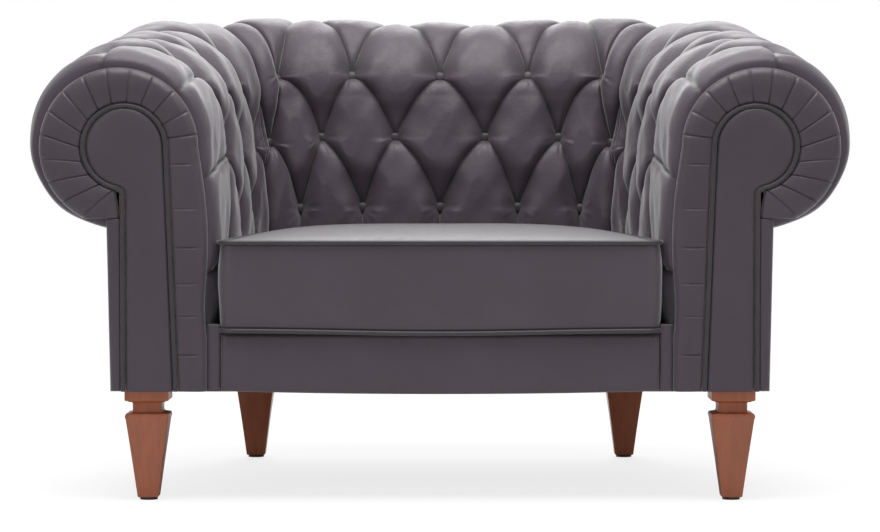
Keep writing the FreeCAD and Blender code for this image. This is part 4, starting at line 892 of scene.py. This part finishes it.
def crown(x, y, high):
    """Height of the domed top over its seam: full across the middle, falling away at the edges."""
    across = np.clip(np.abs(x) / cushion_half(y), 0, 1)
    ahead = np.clip(np.abs((y + 0.1435) / 0.2745), 0, 1)
    return high * (1 - across ** 3.2) ** 0.62 * (1 - ahead ** 3.0) ** 0.62


ring = cushion_ring(0.0)
middle = np.array([0.0, -0.1435])
middles = (0.0, 0.97, 0.94)
shrink = 1 - np.linspace(0, 1, 56) ** 1.15 * 0.985
flat = middle + (ring - middle)[None] * shrink[:, None, None]
top_z = CUSHION_Z[1] + crown(flat[..., 0], flat[..., 1], 0.0240)
top_z += 0.0011 * np.sin(17 * flat[..., 0] + 2) * np.sin(14 * flat[..., 1]) * (1 - shrink[:, None])
top = np.concatenate([flat, top_z[..., None]], -1)
side_t = np.linspace(0, 1, 32)[1:-1]
bulge = 0.0035 * np.sin(math.pi * side_t) ** 0.8
away = ring - middle
normal = np.roll(ring, -1, 0) - np.roll(ring, 1, 0)
normal = np.stack([normal[:, 1], -normal[:, 0]], 1)
normal /= np.linalg.norm(normal, axis=1, keepdims=True)
sag = 0.0045 * np.exp(-((ring[:, 0] / 0.2) ** 2)) * np.clip((-0.35 - ring[:, 1]) / 0.06, 0, 1)
side = ring[None] + normal[None] * bulge[:, None, None]
crumple = 0.0012 * np.sin(21 * ring[:, 0] + 15 * ring[:, 1])[None] * np.sin(math.pi * side_t)[:, None]
crumple = crumple + 0.0009 * np.sin(46 * ring[:, 0] - 30 * ring[:, 1] + 7 * side_t[:, None])
side = side + normal[None] * crumple[..., None] * np.sin(math.pi * side_t)[:, None, None] ** 0.5
side_z = CUSHION_Z[0] - sag[None] + (CUSHION_Z[1] - CUSHION_Z[0] + sag[None]) * side_t[:, None]
side = np.concatenate([side, side_z[..., None]], -1)
under = middle + (ring - middle)[None] * shrink[::2, None, None]
under_z = CUSHION_Z[0] - 0.0058 * (1 - shrink[::2] ** 8)[:, None] - sag[None] * shrink[::2, None] ** 4
under = np.concatenate([under, np.broadcast_to(under_z, under.shape[:2])[..., None]], -1)
shell = np.concatenate([under[::-1], side, top])
cushion_leather = leather("cushion_leather", (0.044, 0.031, 0.044), (0.075, 0.055, 0.077), 0.38, 1.0, 0.9)
cushion = merged("cushion_box", [shell])
finish_piece(cushion, "seat_cushion", "leather", cushion_leather, "seat_cover", "seat_foam")
for place, high, lower in (("top", CUSHION_Z[1] + 0.0027, 0.0), ("bottom", CUSHION_Z[0] - 0.0027, 1.0)):
    line = cushion_ring(0.0027)
    drop = 0.0045 * np.exp(-((line[:, 0] / 0.2) ** 2)) * np.clip((-0.35 - line[:, 1]) / 0.06, 0, 1) * lower
    path = np.concatenate([line, (high - drop)[:, None]], 1)
    ahead = np.roll(path, -1, 0) - np.roll(path, 1, 0)
    ahead /= np.linalg.norm(ahead, axis=1, keepdims=True)
    out = np.cross(ahead, (0.0, 0.0, 1.0))
    up = np.cross(out, ahead)
    turn = np.linspace(0, 2 * math.pi, 12, endpoint=False)
    rings = path[:, None] + 0.0034 * (
        np.cos(turn)[None, :, None] * out[:, None] + np.sin(turn)[None, :, None] * up[:, None]
    )
    count = len(path)
    i, k = np.meshgrid(np.arange(count), np.arange(12), indexing="ij")
    here, side_on = i * 12 + k, i * 12 + (k + 1) % 12
    beyond, both = (i + 1) % count * 12 + k, (i + 1) % count * 12 + (k + 1) % 12
    mesh = bpy.data.meshes.new(f"cushion_cord_{place}")
    mesh.from_pydata(rings.reshape(-1, 3).tolist(), [], np.stack([here, side_on, both, beyond], -1).reshape(-1, 4).tolist())
    cord = outward(f"cushion_cord_{place}", mesh)
    finish_piece(cord, "seat_cushion", "leather_piping", cord_leather, f"seat_piping_{place}")


# Legs: square tapered hardwood turned up from one block, with a moulded neck under a plain cap.
def wood(name, dark, pale, rough):
    """Stained hardwood: long grain along Z from stretched noise, with darker pores and a satin
    varnish."""
    material = bpy.data.materials.new(name)
    material.use_nodes = True
    nodes, links = material.node_tree.nodes, material.node_tree.links
    face = nodes["Principled BSDF"]
    place = nodes.new("ShaderNodeTexCoord")
    stretch = nodes.new("ShaderNodeMapping")
    stretch.inputs["Scale"].default_value = (1.0, 1.0, 0.09)
    grain = nodes.new("ShaderNodeTexNoise")
    grain.inputs["Scale"].default_value = 170.0
    grain.inputs["Detail"].default_value = 7.0
    grain.inputs["Distortion"].default_value = 0.6
    cloud = nodes.new("ShaderNodeTexNoise")
    cloud.inputs["Scale"].default_value = 38.0
    cloud.inputs["Detail"].default_value = 3.0
    tone = nodes.new("ShaderNodeMix")
    tone.data_type = "RGBA"
    tone.inputs["A"].default_value = (*dark, 1)
    tone.inputs["B"].default_value = (*pale, 1)
    blend = nodes.new("ShaderNodeMath")
    blend.operation = "MULTIPLY_ADD"
    blend.inputs[1].default_value = 0.55
    relief = nodes.new("ShaderNodeBump")
    relief.inputs["Strength"].default_value = 0.12
    relief.inputs["Distance"].default_value = 0.0005
    links.new(place.outputs["Object"], stretch.inputs["Vector"])
    links.new(stretch.outputs["Vector"], grain.inputs["Vector"])
    links.new(stretch.outputs["Vector"], cloud.inputs["Vector"])
    links.new(cloud.outputs["Fac"], blend.inputs[0])
    scaled = nodes.new("ShaderNodeMath")
    scaled.operation = "MULTIPLY"
    scaled.inputs[1].default_value = 0.5
    links.new(grain.outputs["Fac"], scaled.inputs[0])
    links.new(scaled.outputs[0], blend.inputs[2])
    links.new(blend.outputs[0], tone.inputs["Factor"])
    links.new(tone.outputs["Result"], face.inputs["Base Color"])
    links.new(grain.outputs["Fac"], relief.inputs["Height"])
    links.new(relief.outputs["Normal"], face.inputs["Normal"])
    face.inputs["Roughness"].default_value = rough
    face.inputs["Coat Weight"].default_value = 0.25
    face.inputs["Coat Roughness"].default_value = 0.25
    return material


leg_wood = wood("leg_mahogany", (0.16, 0.040, 0.015), (0.50, 0.140, 0.054), 0.36)
LEG_RINGS = np.array([
    (0.0040, 14.3), (0.0052, 15.5), (0.0600, 22.6), (0.1215, 31.2), (0.1238, 32.2), (0.1262, 32.2), (0.1290, 31.0),
    (0.1312, 22.4), (0.1330, 21.5), (0.1446, 21.5), (0.1460, 22.6), (0.1466, 26.6), (0.1478, 28.2),
    (0.1486, 31.6), (0.1498, 32.5), (0.1629, 32.5),
])


def leg_patch(x, y, round_off=0.0016):
    """A square ring at each level, its corners rounded by a quarter turn, faces left flat."""
    half = LEG_RINGS[:, 1:] / 1000
    turn = np.linspace(0, math.pi / 2, 6)
    quarter = [(np.cos(turn + q * math.pi / 2), np.sin(turn + q * math.pi / 2)) for q in range(4)]
    corner = [(1, 1), (-1, 1), (-1, -1), (1, -1)]
    xs = np.concatenate([half * 0 + cx * (half - round_off) + round_off * c[None] for (c, s), (cx, cy) in zip(quarter, corner)], 1)
    ys = np.concatenate([half * 0 + cy * (half - round_off) + round_off * s[None] for (c, s), (cx, cy) in zip(quarter, corner)], 1)
    z = np.broadcast_to(LEG_RINGS[:, :1], xs.shape)
    return np.stack([x + xs, y + ys, z], -1)


for where, x, y in (("front", 0.433, -0.378), ("rear", 0.313, 0.235)):
    for side, sign in (("right", 1), ("left", -1)):
        leg = merged(f"leg_{where}_{side}", [leg_patch(sign * x, y)])
        leg.data.set_sharp_from_angle(angle=math.radians(32))
        finish_piece(leg, "chair", "leg_wood", leg_wood, f"{where}_leg_{side}")


# Hidden frame, springs and linings: bare hardwood, plain steel, calico and black bottoming cloth.
def plain(name, dark, pale, rough, scale, stretch, metal=0.0, bump=0.1):
    """Two tones over stretched noise with a fine relief, for what the leather hides."""
    material = bpy.data.materials.new(name)
    material.use_nodes = True
    nodes, links = material.node_tree.nodes, material.node_tree.links
    face = nodes["Principled BSDF"]
    place = nodes.new("ShaderNodeTexCoord")
    turn = nodes.new("ShaderNodeMapping")
    turn.inputs["Scale"].default_value = stretch
    grain = nodes.new("ShaderNodeTexNoise")
    grain.inputs["Scale"].default_value = scale
    grain.inputs["Detail"].default_value = 5.0
    tone = nodes.new("ShaderNodeMix")
    tone.data_type = "RGBA"
    tone.inputs["A"].default_value = (*dark, 1)
    tone.inputs["B"].default_value = (*pale, 1)
    relief = nodes.new("ShaderNodeBump")
    relief.inputs["Strength"].default_value = bump
    relief.inputs["Distance"].default_value = 0.0005
    links.new(place.outputs["Object"], turn.inputs["Vector"])
    links.new(turn.outputs["Vector"], grain.inputs["Vector"])
    links.new(grain.outputs["Fac"], tone.inputs["Factor"])
    links.new(tone.outputs["Result"], face.inputs["Base Color"])
    links.new(grain.outputs["Fac"], relief.inputs["Height"])
    links.new(relief.outputs["Normal"], face.inputs["Normal"])
    face.inputs["Roughness"].default_value = rough
    face.inputs["Metallic"].default_value = metal
    return material


finishes = {
    "frame_wood": plain("frame_hardwood", (0.38, 0.25, 0.13), (0.58, 0.42, 0.25), 0.7, 60.0, (0.2, 0.2, 1.0)),
    "spring_steel": plain("spring_steel", (0.16, 0.16, 0.165), (0.28, 0.28, 0.285), 0.42, 90.0, (1.0, 1.0, 1.0), 1.0),
    "deck_cloth": plain("deck_cloth", (0.010, 0.010, 0.011), (0.030, 0.030, 0.032), 0.95, 900.0, (1.0, 1.0, 1.0), 0.0, 0.4),
    "lining_board": plain("lining_board", (0.24, 0.19, 0.13), (0.36, 0.29, 0.20), 0.9, 220.0, (1.0, 1.0, 1.0)),
    "glide_plastic": plain("glide_plastic", (0.012, 0.011, 0.010), (0.030, 0.028, 0.026), 0.55, 300.0, (1.0, 1.0, 1.0)),
    "zip_metal": plain("zip_brass", (0.24, 0.16, 0.06), (0.40, 0.29, 0.12), 0.35, 400.0, (1.0, 1.0, 1.0), 1.0),
    "leather_piping": cord_leather,
    "leather": pad_leather,
    "leather_outside": outside_leather,
    "leather_facing": facing_leather,
    "leather_buttons": button_leather_painted_shade,
    "foam": plain("foam", (0.62, 0.55, 0.36), (0.74, 0.68, 0.48), 0.95, 500.0, (1.0, 1.0, 1.0), 0.0, 0.4),
}
for part in frame["record"]["subparts"]:
    thing = bpy.data.objects.get(part["node"])
    if thing is not None and part["material_slot"] in finishes:
        thing.data.materials.clear()
        thing.data.materials.append(finishes[part["material_slot"]])
